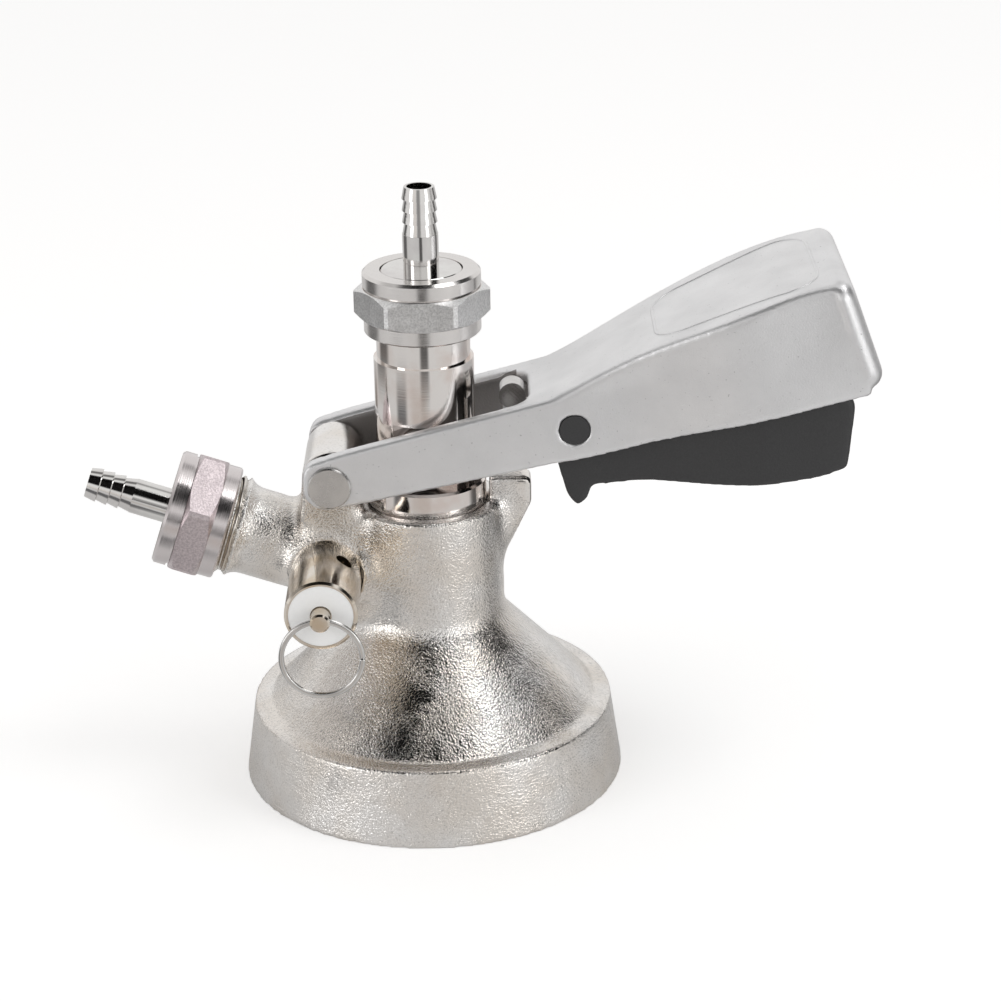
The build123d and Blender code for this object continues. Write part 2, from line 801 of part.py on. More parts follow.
# ---------------------------------------------------------------- pivot
with BuildPart() as pivot_pin:
    with BuildSketch(Plane.XZ):
        with Locations((pivot_x, pivot_z)):
            Circle(pivot_pin_radius)
    extrude(amount=arm_inner + arm_thickness, both=True)
    for side in (1, -1):
        with BuildSketch(Plane.XZ.offset(side * (arm_inner + arm_thickness))):
            with Locations((pivot_x, pivot_z)):
                Circle(pivot_head_radius)
        extrude(amount=side * pivot_head_thickness)
    head_rims = pivot_pin.edges().filter_by(GeomType.CIRCLE).group_by(Axis.Y)
    chamfer(head_rims[0], 0.3)
    chamfer(head_rims[-1], 0.3)
save(pivot_pin, "pivot_pin")

with BuildPart() as pivot_washers:
    for side in (1, -1):
        with BuildSketch(Plane.XZ.offset(side * pivot_boss_half)):
            with Locations((pivot_x, pivot_z)):
                Circle(pivot_washer_radius)
                Circle(pivot_pin_radius + running_gap, mode=Mode.SUBTRACT)
        extrude(amount=side * pivot_washer_thickness)
save(pivot_washers, "pivot_washers")


# ---------------------------------------------------------------- lever
def arm_lower(x):
    """Height of the arms' straight lower edge."""
    slope = radians(arm_lower_slope)
    return pivot_z - arm_lower_offset / cos(slope) + tan(slope) * (x - pivot_x)


def hollow_half_width(half_width):
    return max(arm_inner, half_width - hood_wall)


end_wall_mid = ((end_wall_top[0] + end_wall_bottom[0]) / 2, (end_wall_top[1] + end_wall_bottom[1]) / 2)
end_wall_height = hypot(end_wall_top[0] - end_wall_bottom[0], end_wall_top[1] - end_wall_bottom[1])
end_wall_normal = (
    (end_wall_top[1] - end_wall_bottom[1]) / end_wall_height,
    0,
    (end_wall_bottom[0] - end_wall_top[0]) / end_wall_height,
)
end_wall_plane = Plane(origin=(end_wall_mid[0], 0, end_wall_mid[1]), x_dir=(0, 1, 0), z_dir=end_wall_normal)
end_wall_half_width = hood_stations[-2][4] + end_wall_overhang
arm_root_x = hood_stations[1][0]
arm_root_top = hood_stations[1][3] - arm_root_drop

# Fork arms, from the pivot to the hood, with their outer edges rounded.
with BuildPart() as fork_arms:
    for side in (1, -1):
        with BuildSketch(Plane.XZ.offset(side * arm_inner)) as arm:
            with BuildLine():
                Polyline(
                    (pivot_x - arm_end_reach, arm_lower(pivot_x - arm_end_reach)),
                    (pivot_x - arm_end_reach, pivot_z + arm_end_height),
                    (pivot_x + arm_shoulder[0], pivot_z + arm_shoulder[1]),
                    (arm_root_x, arm_root_top),
                    (arm_root_x, arm_lower(arm_root_x)),
                    close=True,
                )
            make_face()
            ends = arm.vertices()
            lower_end = (pivot_x - arm_end_reach, arm_lower(pivot_x - arm_end_reach))
            upper_end = (pivot_x - arm_end_reach, pivot_z + arm_end_height)
            fillet(ends.sort_by_distance(lower_end)[0], arm_foot_round)
            fillet(ends.sort_by_distance(upper_end)[0], arm_end_round)
        extrude(amount=side * arm_thickness)
    arm_faces = fork_arms.faces().filter_by(Axis.Y).sort_by(Axis.Y)
    for arm_face in (arm_faces[0], arm_faces[-1]):
        fillet(arm_face.edges().filter_by(lambda edge: edge.center().X < arm_root_x - 0.01), arm_edge_round)
    long_edges = fork_arms.edges().filter_by(lambda edge: abs(abs(edge.center().Y) - arm_inner) < 0.01)
    fillet(long_edges.filter_by(lambda edge: edge.length > 40).group_by(Axis.Z)[-1], arm_inner_round)

with BuildPart() as lever_handle:
    # Outside of the hood, lofted through its sections.
    for x, lower, shoulder, crease, lower_half, shoulder_half, crease_half in hood_stations:
        with BuildSketch(across_x(x)):
            with BuildLine():
                Polyline(
                    (-lower_half, lower),
                    (lower_half, lower),
                    (shoulder_half, shoulder),
                    (crease_half, crease),
                    (-crease_half, crease),
                    (-shoulder_half, shoulder),
                    close=True,
                )
            make_face()
    loft()
    crease_edges = lever_handle.edges().filter_by(
        lambda edge: edge.length > 60 and abs(edge.center().Y) > arm_inner
    ).group_by(Axis.Z)[-1]
    fillet(crease_edges, hood_crease_round)

    add(fork_arms.part)

    # Hollow under the roof, open below.
    for x, lower, shoulder, crease, lower_half, shoulder_half, crease_half in hood_stations:
        half_width = hollow_half_width(min(lower_half, crease_half))
        with BuildSketch(across_x(x)):
            with BuildLine():
                Polyline(
                    (-half_width, lower - hood_skirt),
                    (half_width, lower - hood_skirt),
                    (half_width, crease - hood_roof),
                    (-half_width, crease - hood_roof),
                    close=True,
                )
            make_face()
    loft(mode=Mode.SUBTRACT)

    # Slot of the fork, with a rounded throat.
    with BuildSketch(Plane.XY.offset(arm_lower(pivot_x) - 1)) as throat:
        with Locations((throat_x, 0)):
            Rectangle(2 * throat_x - 2 * pivot_x, 2 * arm_inner, align=(Align.MAX, Align.CENTER))
        fillet(throat.vertices().group_by(Axis.X)[-1], throat_round)
    extrude(amount=hood_stations[1][3] - arm_lower(pivot_x) + 10, mode=Mode.SUBTRACT)

    # End wall, wider than the hood and rounded on the outside.
    split(bisect_by=end_wall_plane, keep=Keep.BOTTOM)
    with BuildSketch(end_wall_plane) as end_wall:
        Rectangle(2 * end_wall_half_width, end_wall_height + end_wall_overhang)
        fillet(end_wall.vertices(), end_wall_corner)
    extrude(amount=end_wall_thickness)
    outer_rim = lever_handle.faces().sort_by(Axis(end_wall_plane.origin, end_wall_plane.z_dir))[-1].edges()
    fillet(outer_rim, end_wall_round)

    # Drive pads that sit in the probe's flats.
    for side in (1, -1):
        with BuildSketch(Plane.XZ.offset(side * (flat_distance + free_gap))):
            with Locations((0, pad_height)):
                Circle(pad_radius)
        extrude(amount=side * (arm_inner - flat_distance))

    with BuildSketch(Plane.XZ):
        with Locations((pivot_x, pivot_z)):
            Circle(pivot_pin_radius + running_gap)
    extrude(amount=arm_inner + arm_thickness, both=True, mode=Mode.SUBTRACT)
    with BuildSketch(Plane.XZ):
        with Locations((trigger_pin_x, trigger_pin_z)):
            Circle(trigger_pin_radius + fixed_gap)
    extrude(amount=arm_inner + 2 * arm_thickness, both=True, mode=Mode.SUBTRACT)
save(lever_handle, "lever_handle")

with BuildPart() as trigger_pin:
    with BuildSketch(Plane.XZ):
        with Locations((trigger_pin_x, trigger_pin_z)):
            Circle(trigger_pin_radius)
    extrude(amount=arm_inner + arm_thickness, both=True)
save(trigger_pin, "trigger_pin")


# ---------------------------------------------------------------- squeeze grip and latch claw
def grip_plan(inset):
    """Plan outline of the grip, inside the hood's walls."""
    near_side = []
    for x, lower, shoulder, crease, lower_half, shoulder_half, crease_half in hood_stations:
        near_side.append((x, hollow_half_width(min(lower_half, crease_half)) - grip_side_gap - inset))
    far_side = [(x, -half_width) for x, half_width in reversed(near_side)]
    return near_side + far_side


with BuildPart() as grip_hollow:
    with BuildSketch(Plane.XZ):
        with BuildLine():
            floor_curve = Spline(*[(x, z + grip_wall) for x, z in [grip_hook[-1]] + grip_belly])
            Polyline(
                floor_curve @ 1,
                (grip_rear[0][0] - grip_wall, grip_rear[0][1] + grip_wall),
                (grip_rear[0][0] - grip_wall, grip_rear[-1][1] + 10),
                (grip_hook[-1][0], grip_rear[-1][1] + 10),
                floor_curve @ 0,
            )
        make_face()
    extrude(amount=2 * arm_inner, both=True)
    with BuildSketch(Plane.XY.offset(arm_lower(pivot_x) - 5)):
        with BuildLine():
            Polyline(*grip_plan(grip_wall), close=True)
        make_face()
    extrude(amount=60, mode=Mode.INTERSECT)

with BuildPart() as trigger_grip:
    with BuildSketch(Plane.XZ) as grip_side:
        with BuildLine():
            hook = Polyline(grip_front_top, *grip_hook)
            belly = Spline(hook @ 1, *grip_belly)
            Polyline(belly @ 1, *grip_rear, *grip_crown, (trigger_pin_x - 5, trigger_pin_z + 3), hook @ 0)
        make_face()
        fillet(grip_side.vertices().sort_by_distance(grip_rear[0])[0], grip_rear_round)
    extrude(amount=2 * arm_inner, both=True)
    with BuildSketch(Plane.XY.offset(arm_lower(pivot_x) - 5)):
        with BuildLine():
            Polyline(*grip_plan(0), close=True)
        make_face()
    extrude(amount=60, mode=Mode.INTERSECT)
    add(grip_hollow.part, mode=Mode.SUBTRACT)
    # Spring seat, pin hole and the slot of the claw.
    with BuildSketch(Plane.XY.offset(grip_hook[-1][1] + grip_wall / 2)):
        with Locations((grip_spring_x, 0)):
            Rectangle(2.8 * grip_spring_radius, 2.8 * grip_spring_radius)
    extrude(amount=grip_spring_seat - grip_hook[-1][1] - grip_wall / 2)
    with BuildSketch(Plane.XZ):
        with Locations((trigger_pin_x, trigger_pin_z)):
            Circle(trigger_pin_radius + running_gap)
        with Locations((rivet_x, rivet_z)):
            Circle(rivet_radius + fixed_gap)
    extrude(amount=2 * arm_inner, both=True, mode=Mode.SUBTRACT)
    with BuildSketch(Plane.XZ):
        with Locations((rivet_x + 2.6, grip_hook[-1][1] + 4)):
            Rectangle(30, 40, align=(Align.MAX, Align.MIN))
    extrude(amount=claw_half_thickness + fixed_gap, both=True, mode=Mode.SUBTRACT)
save(trigger_grip, "trigger_grip")


def lever_rest_point(x, z):
    """Where a point of the lowered lever lies when the lever is raised."""
    turn = radians(lever_travel)
    reach, rise = x - pivot_x, z - pivot_z
    return pivot_x + reach * cos(turn) - rise * sin(turn), pivot_z + reach * sin(turn) + rise * cos(turn)


catch_path = hypot(catch_outer_x - pivot_x, pivot_z - catch_knob_bottom) + free_gap
lip_height = lever_rest_point(catch_outer_x, catch_knob_bottom - free_gap)[1]
knob_height = lever_rest_point(catch_outer_x, catch_knob_top)[1]


def catch_clear_x(z):
    """X of the claw's inner side, just outside the knob's path about the pivot."""
    return pivot_x + sqrt(catch_path**2 - (z - pivot_z) ** 2)


with BuildPart() as latch_claw:
    with BuildSketch(Plane.XZ):
        with BuildLine():
            Polyline(
                (catch_clear_x(lip_height), lip_height),
                (catch_clear_x(lip_height) + claw_relief, lip_height + claw_relief),
                (catch_clear_x(knob_height) + claw_relief, knob_height + 2),
                (claw_nose[0], claw_nose[1] - claw_nose_radius),
                (claw_nose[0], claw_nose[1]),
                (claw_nose[0] + claw_nose_radius, claw_nose[1]),
                (claw_nose[0] + claw_nose_radius, claw_nose[1] - 2.2),
                (trigger_pin_x - 4, trigger_pin_z + 3.4),
                (trigger_pin_x, trigger_pin_z + claw_boss_radius),
                (rivet_x + 2.4, rivet_z + 2.4),
                (rivet_x + 2.4, rivet_z - 2.4),
                (trigger_pin_x, trigger_pin_z - claw_boss_radius),
                (catch_clear_x(lip_height) + claw_finger, lip_height),
                (catch_clear_x(lip_height) + claw_finger - 0.8, lip_height - claw_finger / 2),
                (catch_clear_x(lip_height - claw_finger / 2), lip_height - claw_finger / 2),
                close=True,
            )
        make_face()
        with Locations(claw_nose):
            Circle(claw_nose_radius)
        with Locations((trigger_pin_x, trigger_pin_z)):
            Circle(claw_boss_radius)
            Circle(trigger_pin_radius + running_gap, mode=Mode.SUBTRACT)
        with Locations((rivet_x, rivet_z)):
            Circle(rivet_radius + fixed_gap, mode=Mode.SUBTRACT)
    extrude(amount=claw_half_thickness, both=True)
save(latch_claw, "latch_claw")

rivet_half = hollow_half_width(0) - grip_side_gap - 0.6
with BuildPart() as claw_rivet:
    with BuildSketch(Plane.XZ):
        with Locations((rivet_x, rivet_z)):
            Circle(rivet_radius)
    extrude(amount=rivet_half, both=True)
save(claw_rivet, "claw_rivet")


def hood_roof_inner(x):
    """Height of the hood's ceiling between two of its sections."""
    for first, second in zip(hood_stations, hood_stations[1:]):
        if first[0] <= x <= second[0]:
            share = (x - first[0]) / (second[0] - first[0])
            return first[3] + share * (second[3] - first[3]) - hood_roof


spring_ceiling = hood_roof_inner(grip_spring_x - grip_spring_radius)
grip_spring = coil_spring(
    Plane.XY.offset(grip_spring_seat + fixed_gap).move(Location((grip_spring_x, 0, 0))),
    spring_ceiling - grip_spring_seat - free_gap,
    grip_spring_turns,
    grip_spring_radius,
    grip_spring_wire,
)
save(grip_spring, "grip_spring")
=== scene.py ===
"""Keg coupler: finishes, fine detail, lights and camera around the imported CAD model. Metres, +Z up."""
import json
from math import cos, pi, radians, sin

import bmesh
import bpy
from mathutils import Matrix, Vector
from mathutils.bvhtree import BVHTree


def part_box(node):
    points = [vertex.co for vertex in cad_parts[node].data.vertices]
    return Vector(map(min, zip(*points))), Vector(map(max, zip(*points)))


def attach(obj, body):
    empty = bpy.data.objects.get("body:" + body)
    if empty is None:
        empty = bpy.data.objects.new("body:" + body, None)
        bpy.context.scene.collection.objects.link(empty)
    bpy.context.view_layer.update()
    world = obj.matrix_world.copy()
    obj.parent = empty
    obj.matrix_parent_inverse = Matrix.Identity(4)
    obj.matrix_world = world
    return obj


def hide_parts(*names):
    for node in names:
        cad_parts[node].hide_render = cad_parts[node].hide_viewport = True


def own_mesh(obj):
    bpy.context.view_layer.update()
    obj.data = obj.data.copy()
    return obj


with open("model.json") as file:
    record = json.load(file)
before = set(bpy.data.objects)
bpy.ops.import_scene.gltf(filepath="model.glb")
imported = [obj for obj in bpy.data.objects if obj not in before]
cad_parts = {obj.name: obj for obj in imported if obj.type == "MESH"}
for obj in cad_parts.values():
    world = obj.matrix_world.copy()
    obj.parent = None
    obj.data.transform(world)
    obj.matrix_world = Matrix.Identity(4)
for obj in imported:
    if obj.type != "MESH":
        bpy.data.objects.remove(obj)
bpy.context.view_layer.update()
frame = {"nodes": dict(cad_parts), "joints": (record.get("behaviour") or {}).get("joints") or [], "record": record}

mm = 0.001
scene = bpy.context.scene


# ---------------------------------------------------------------- small helpers
def linear(hex_colour):
    """sRGB hex colour as a linear RGBA tuple."""
    channels = []
    for start in (1, 3, 5):
        value = int(hex_colour[start:start + 2], 16) / 255
        channels.append(value / 12.92 if value <= 0.04045 else ((value + 0.055) / 1.055) ** 2.4)
    return (*channels, 1.0)


def node(tree, kind, settings=None, links=None):
    """Adds a node, sets its properties and sockets, and links its inputs to other nodes' outputs."""
    made = tree.nodes.new(kind)
    for name, value in (settings or {}).items():
        if isinstance(name, int) or name in made.inputs:
            made.inputs[name].default_value = value
        else:
            setattr(made, name, value)
    for name, source in (links or {}).items():
        tree.links.new(source, made.inputs[name])
    return made


def new_material(name):
    material = bpy.data.materials.new(name)
    material.use_nodes = True
    material.node_tree.nodes.clear()
    return material, material.node_tree


def joint(name):
    """Point on a joint's axis and the axis direction."""
    found = [entry for entry in frame["joints"] if entry["name"] == name][0]
    return Vector(found["pos_m"]), Vector(found["axis"]).normalized()


def merged_copy(name):
    """Edit mesh of a CAD node with its loose triangles joined up."""
    bm = bmesh.new()
    bm.from_mesh(frame["nodes"][name].data)
    bmesh.ops.remove_doubles(bm, verts=bm.verts, dist=0.002 * mm)
    return bm


def surface_tree(names):
    """Search tree over the faces of several CAD nodes."""
    joined = bmesh.new()
    for name in names:
        joined.from_mesh(frame["nodes"][name].data)
    tree = BVHTree.FromBMesh(joined)
    joined.free()
    return tree


def finished(name, bm, material, body):
    """Turns an edit mesh into a smooth-shaded piece that rides on a body."""
    bmesh.ops.recalc_face_normals(bm, faces=bm.faces)
    mesh = bpy.data.meshes.new(name)
    bm.to_mesh(mesh)
    bm.free()
    mesh.polygons.foreach_set("use_smooth", [True] * len(mesh.polygons))
    mesh.materials.append(material)
    piece = bpy.data.objects.new(name, mesh)
    scene.collection.objects.link(piece)
    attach(piece, body)
    return piece


# ---------------------------------------------------------------- places taken from the frame
gas_point, gas_axis = joint("gas_nut_spin")
beer_point, beer_axis = joint("beer_nut_spin")
pivot, pivot_axis = joint("lever_pivot")
ring_box = [Vector(corner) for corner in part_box("relief_ring")]
ring_middle = (ring_box[0] + ring_box[1]) / 2
relief_box = [Vector(corner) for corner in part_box("relief_body")]
relief_middle = (relief_box[0] + relief_box[1]) / 2
relief_axis = Vector((0, -1, 0))
origin = Vector((0, 0, 0))
upright = Vector((0, 0, 1))
downward = Vector((0, 0, -1))
crosswise = Vector((0, 1, 0))     # the line of the lever's pin and of the relief valve
if gas_axis.x > 0:
    gas_axis = -gas_axis
nut_length = 13.7 * mm
hexagon = (3.3 * mm, 10.0 * mm)      # the flats, measured from a nut's inner end
gas_inner_end = gas_point - gas_axis * nut_length / 2
beer_inner_end = beer_point - beer_axis * nut_length / 2


# ---------------------------------------------------------------- camera
camera_distance = 0.602
camera_elevation = radians(22.1)
camera_lean = radians(1.0)
camera_target = Vector((0.016, 0.0, 0.063))

camera_data = bpy.data.cameras.new("camera")
camera_data.lens = 98.5
camera_data.sensor_width = 36
camera_data.clip_start = 0.05
camera = bpy.data.objects.new("camera", camera_data)
scene.collection.objects.link(camera)
forward = Vector((0, cos(camera_elevation), -sin(camera_elevation)))
level_right = Vector((1, 0, 0))
level_up = level_right.cross(forward)
right = level_right * cos(camera_lean) - level_up * sin(camera_lean)
up = level_right * sin(camera_lean) + level_up * cos(camera_lean)
turn = Matrix((right, up, -forward)).transposed().to_4x4()
camera.matrix_world = Matrix.Translation(camera_target - forward * camera_distance) @ turn
scene.camera = camera
scene.view_settings.view_transform = "Standard"


# ---------------------------------------------------------------- room
# What the metal mirrors: a white studio with a few dark gaps between its panels, as directions from
# the coupler, the angles where each gap is full and where it ends, how dense it is and its colour.
room_gaps = [
    ("gap_over_front", (-0.1, -0.56, 0.82), 27, 37, 1.0, "#0B0A0A"),
    ("gap_lower_left", (-0.42, -0.52, 0.74), 10, 26, 0.85, "#1A1919"),
    ("gap_left_of_front", (-0.8, -0.2, 0.56), 10, 30, 0.7, "#5C5A58"),
    ("gap_right", (0.86, 0.06, 0.5), 24, 34, 1.0, "#0D0C0C"),
    ("front_side", (-0.1, -1.0, 0.04), 5, 18, 0.65, "#22201F"),
    ("back_left", (-0.86, 0.5, 0.25), 3, 15, 0.6, "#5A4C3E"),
    ("gap_behind", (0.1, 0.45, 0.88), 4, 18, 0.8, "#2A2725"),
    ("warm_panel", (-0.45, -0.8, -0.1), 4, 18, 0.3, "#D9BFA0"),
]
room_white = "#F4F3F2"
fill_level = 0.66

world = bpy.data.worlds.new("white_studio")
scene.world = world
world.use_nodes = True
tree = world.node_tree
tree.nodes.clear()


def darken(tree, colour, direction, gaps):
    """Lays gaps, each round a direction, over a colour."""
    for name, aim, full, end, density, shade in gaps:
        closeness = node(
            tree, "ShaderNodeVectorMath",
            {"operation": "DOT_PRODUCT", 1: tuple(Vector(aim).normalized())}, {0: direction},
        )
        share = node(
            tree, "ShaderNodeMapRange",
            {
                "interpolation_type": "SMOOTHSTEP",
                "From Min": cos(radians(end)),
                "From Max": cos(radians(full)),
                "To Max": density,
            },
            {"Value": closeness.outputs["Value"]},
        )
        colour = node(
            tree, "ShaderNodeMix", {"data_type": "RGBA", 7: linear(shade), "label": name},
            {0: share.outputs[0], 6: colour},
        ).outputs[2]
    return colour


path = node(tree, "ShaderNodeLightPath")
direction = node(tree, "ShaderNodeTexCoord").outputs["Generated"]
walls = node(tree, "ShaderNodeRGB")
walls.outputs[0].default_value = linear(room_white)
room = darken(tree, walls.outputs[0], direction, room_gaps)
mirrored = node(
    tree, "ShaderNodeMath", {"operation": "MAXIMUM"},
    {0: path.outputs["Is Glossy Ray"], 1: path.outputs["Is Transmission Ray"]},
)
plain_fill = (fill_level, fill_level, fill_level, 1)
lit = node(tree, "ShaderNodeMix", {"data_type": "RGBA", 6: plain_fill}, {0: mirrored.outputs[0], 7: room})
seen = node(
    tree, "ShaderNodeMix", {"data_type": "RGBA", 7: (1, 1, 1, 1)},
    {0: path.outputs["Is Camera Ray"], 6: lit.outputs[2]},
)
background = node(tree, "ShaderNodeBackground", {"Strength": 1.0}, {"Color": seen.outputs[2]})
node(tree, "ShaderNodeOutputWorld", None, {"Surface": background.outputs[0]})


# ---------------------------------------------------------------- floor
# Upright metal mirrors the table, so the table's edge and the dark room past it show in it as bands.
floor_size = 3.0
floor_white = "#EFEEED"
floor_glow = 0.36         # light of the floor's own, which lifts it to the background's white
table_start = 0.09        # nearer than this the table mirrors white all round
table_fade = 0.03
table_gaps = [
    ("table_left_gap", (-0.79, -0.61, 0), 5, 16, 0.8, "#2F3136"),
    ("table_front_warm", (-0.2, -0.98, 0), 8, 24, 0.35, "#B9A492"),
    ("table_right_gap", (0.9, 0.3, 0), 8, 24, 0.85, "#2A2826"),
    ("table_back_gap", (-0.55, 0.83, 0), 3, 12, 0.7, "#5A4A3C"),
]

table_end = 0.27          # past this the table's far gaps show, which the tall hose tail mirrors
far_gaps = [
    ("far_front", (0.05, -1, 0), 4, 13, 0.85, "#232120"),
    ("far_left", (-0.92, 0.38, 0), 8, 24, 0.8, "#2A2827"),
    ("far_right", (0.92, 0.38, 0), 8, 24, 0.8, "#2A2827"),
]

bm = bmesh.new()
bmesh.ops.create_grid(bm, x_segments=1, y_segments=1, size=floor_size)
mesh = bpy.data.meshes.new("floor")
bm.to_mesh(mesh)
bm.free()
floor = bpy.data.objects.new("floor", mesh)
scene.collection.objects.link(floor)
material, tree = new_material("white_floor")
path = node(tree, "ShaderNodeLightPath")
place = node(tree, "ShaderNodeTexCoord").outputs["Object"]
reach = node(tree, "ShaderNodeVectorMath", {"operation": "LENGTH"}, {0: place})
bearing = node(tree, "ShaderNodeVectorMath", {"operation": "NORMALIZE"}, {0: place}).outputs[0]
table = node(tree, "ShaderNodeRGB")
table.outputs[0].default_value = linear(floor_white)
banded = darken(tree, table.outputs[0], bearing, table_gaps)
further = darken(tree, table.outputs[0], bearing, far_gaps)
beyond = node(
    tree, "ShaderNodeMapRange",
    {
        "interpolation_type": "SMOOTHSTEP",
        "From Min": table_end - table_fade,
        "From Max": table_end + table_fade,
    },
    {"Value": reach.outputs["Value"]},
)
mirror = node(
    tree, "ShaderNodeMix", {"data_type": "RGBA"}, {0: beyond.outputs[0], 6: banded, 7: further},
).outputs[2]
far = node(
    tree, "ShaderNodeMapRange",
    {
        "interpolation_type": "SMOOTHSTEP",
        "From Min": table_start - table_fade,
        "From Max": table_start + table_fade,
    },
    {"Value": reach.outputs["Value"]},
)
share = node(
    tree, "ShaderNodeMath", {"operation": "MULTIPLY"},
    {0: far.outputs[0], 1: path.outputs["Is Glossy Ray"]},
)
tone = node(
    tree, "ShaderNodeMix", {"data_type": "RGBA", 6: linear(floor_white)},
    {0: share.outputs[0], 7: mirror},
)
paint = node(tree, "ShaderNodeBsdfDiffuse", None, {"Color": tone.outputs[2]})
glow_level = node(
    tree, "ShaderNodeMath", {"operation": "MULTIPLY", 1: floor_glow}, {0: path.outputs["Is Camera Ray"]},
)
glow = node(tree, "ShaderNodeEmission", {"Color": (1, 1, 1, 1)}, {"Strength": glow_level.outputs[0]})
mixed = node(tree, "ShaderNodeAddShader", None, {0: paint.outputs[0], 1: glow.outputs[0]})
node(tree, "ShaderNodeOutputMaterial", None, {"Surface": mixed.outputs[0]})
floor.data.materials.append(material)


# ---------------------------------------------------------------- lamps
lamp_aim = Vector((0, 0, 0.06))


def softbox(name, place, size, radiance):
    """Rectangular lamp that faces the coupler; radiance is how bright it looks in a mirror."""
    lamp = bpy.data.lights.new(name, "AREA")
    lamp.shape = "RECTANGLE"
    lamp.size, lamp.size_y = size
    lamp.energy = radiance * pi * size[0] * size[1]
    box = bpy.data.objects.new(name, lamp)
    box.location = place
    box.rotation_euler = (lamp_aim - Vector(place)).to_track_quat("-Z", "Y").to_euler()
    scene.collection.objects.link(box)


softbox("right_top_softbox", (0.42, -0.12, 0.8), (0.34, 0.34), 3.0)
softbox("left_softbox", (-0.75, -0.5, 0.22), (0.3, 0.5), 2.2)
softbox("right_softbox", (0.7, -0.55, 0.16), (0.26, 0.5), 2.2)


# ---------------------------------------------------------------- finishes
# Each finish starts from Object coordinates, which are the part's own frame in metres.
grain = 0.46 * mm         # pebbles of the plated casting, drawn a little coarse so that they show
turning_mark = 0.35 * mm  # feed of a lathe tool, drawn coarse so that it shows


def along(tree, place, start, axis):
    """Distance along an axis from a start point."""
    product = node(tree, "ShaderNodeVectorMath", {"operation": "DOT_PRODUCT", 1: tuple(axis)}, {0: place})
    return node(
        tree, "ShaderNodeMath", {"operation": "SUBTRACT", 1: start.dot(axis)},
        {0: product.outputs["Value"]},
    ).outputs[0]


def out_from(tree, place, start, axis):
    """Distance out from an axis."""
    arm = node(tree, "ShaderNodeVectorMath", {"operation": "SUBTRACT", 1: tuple(start)}, {0: place})
    cross = node(
        tree, "ShaderNodeVectorMath", {"operation": "CROSS_PRODUCT", 1: tuple(axis)},
        {0: arm.outputs[0]},
    )
    return node(
        tree, "ShaderNodeVectorMath", {"operation": "LENGTH"}, {0: cross.outputs[0]},
    ).outputs["Value"]


def between(tree, value, low, high, blur):
    """1 where a distance lies between two limits, 0 outside them."""
    rise = node(
        tree, "ShaderNodeMapRange", {"From Min": low - blur, "From Max": low + blur}, {"Value": value},
    )
    fall = node(
        tree, "ShaderNodeMapRange", {"From Min": high + blur, "From Max": high - blur}, {"Value": value},
    )
    return node(
        tree, "ShaderNodeMath", {"operation": "MULTIPLY"}, {0: rise.outputs[0], 1: fall.outputs[0]},
    ).outputs[0]


def blend(tree, share, first, second):
    """Mix of two hex colours by a share."""
    return node(
        tree, "ShaderNodeMix", {"data_type": "RGBA", 6: linear(first), 7: linear(second)}, {0: share},
    ).outputs[2]


def close(tree, shader):
    node(tree, "ShaderNodeOutputMaterial", None, {"Surface": shader.outputs[0]})


knuckle_pad = 7.0 * mm     # radius of the smooth pad round the lever's pin
catch_middle = Vector((22.6, 0, 67.2)) * mm
catch_pad = 3.2 * mm
whole = -1.0               # lower limit below any distance, so that only the upper one counts


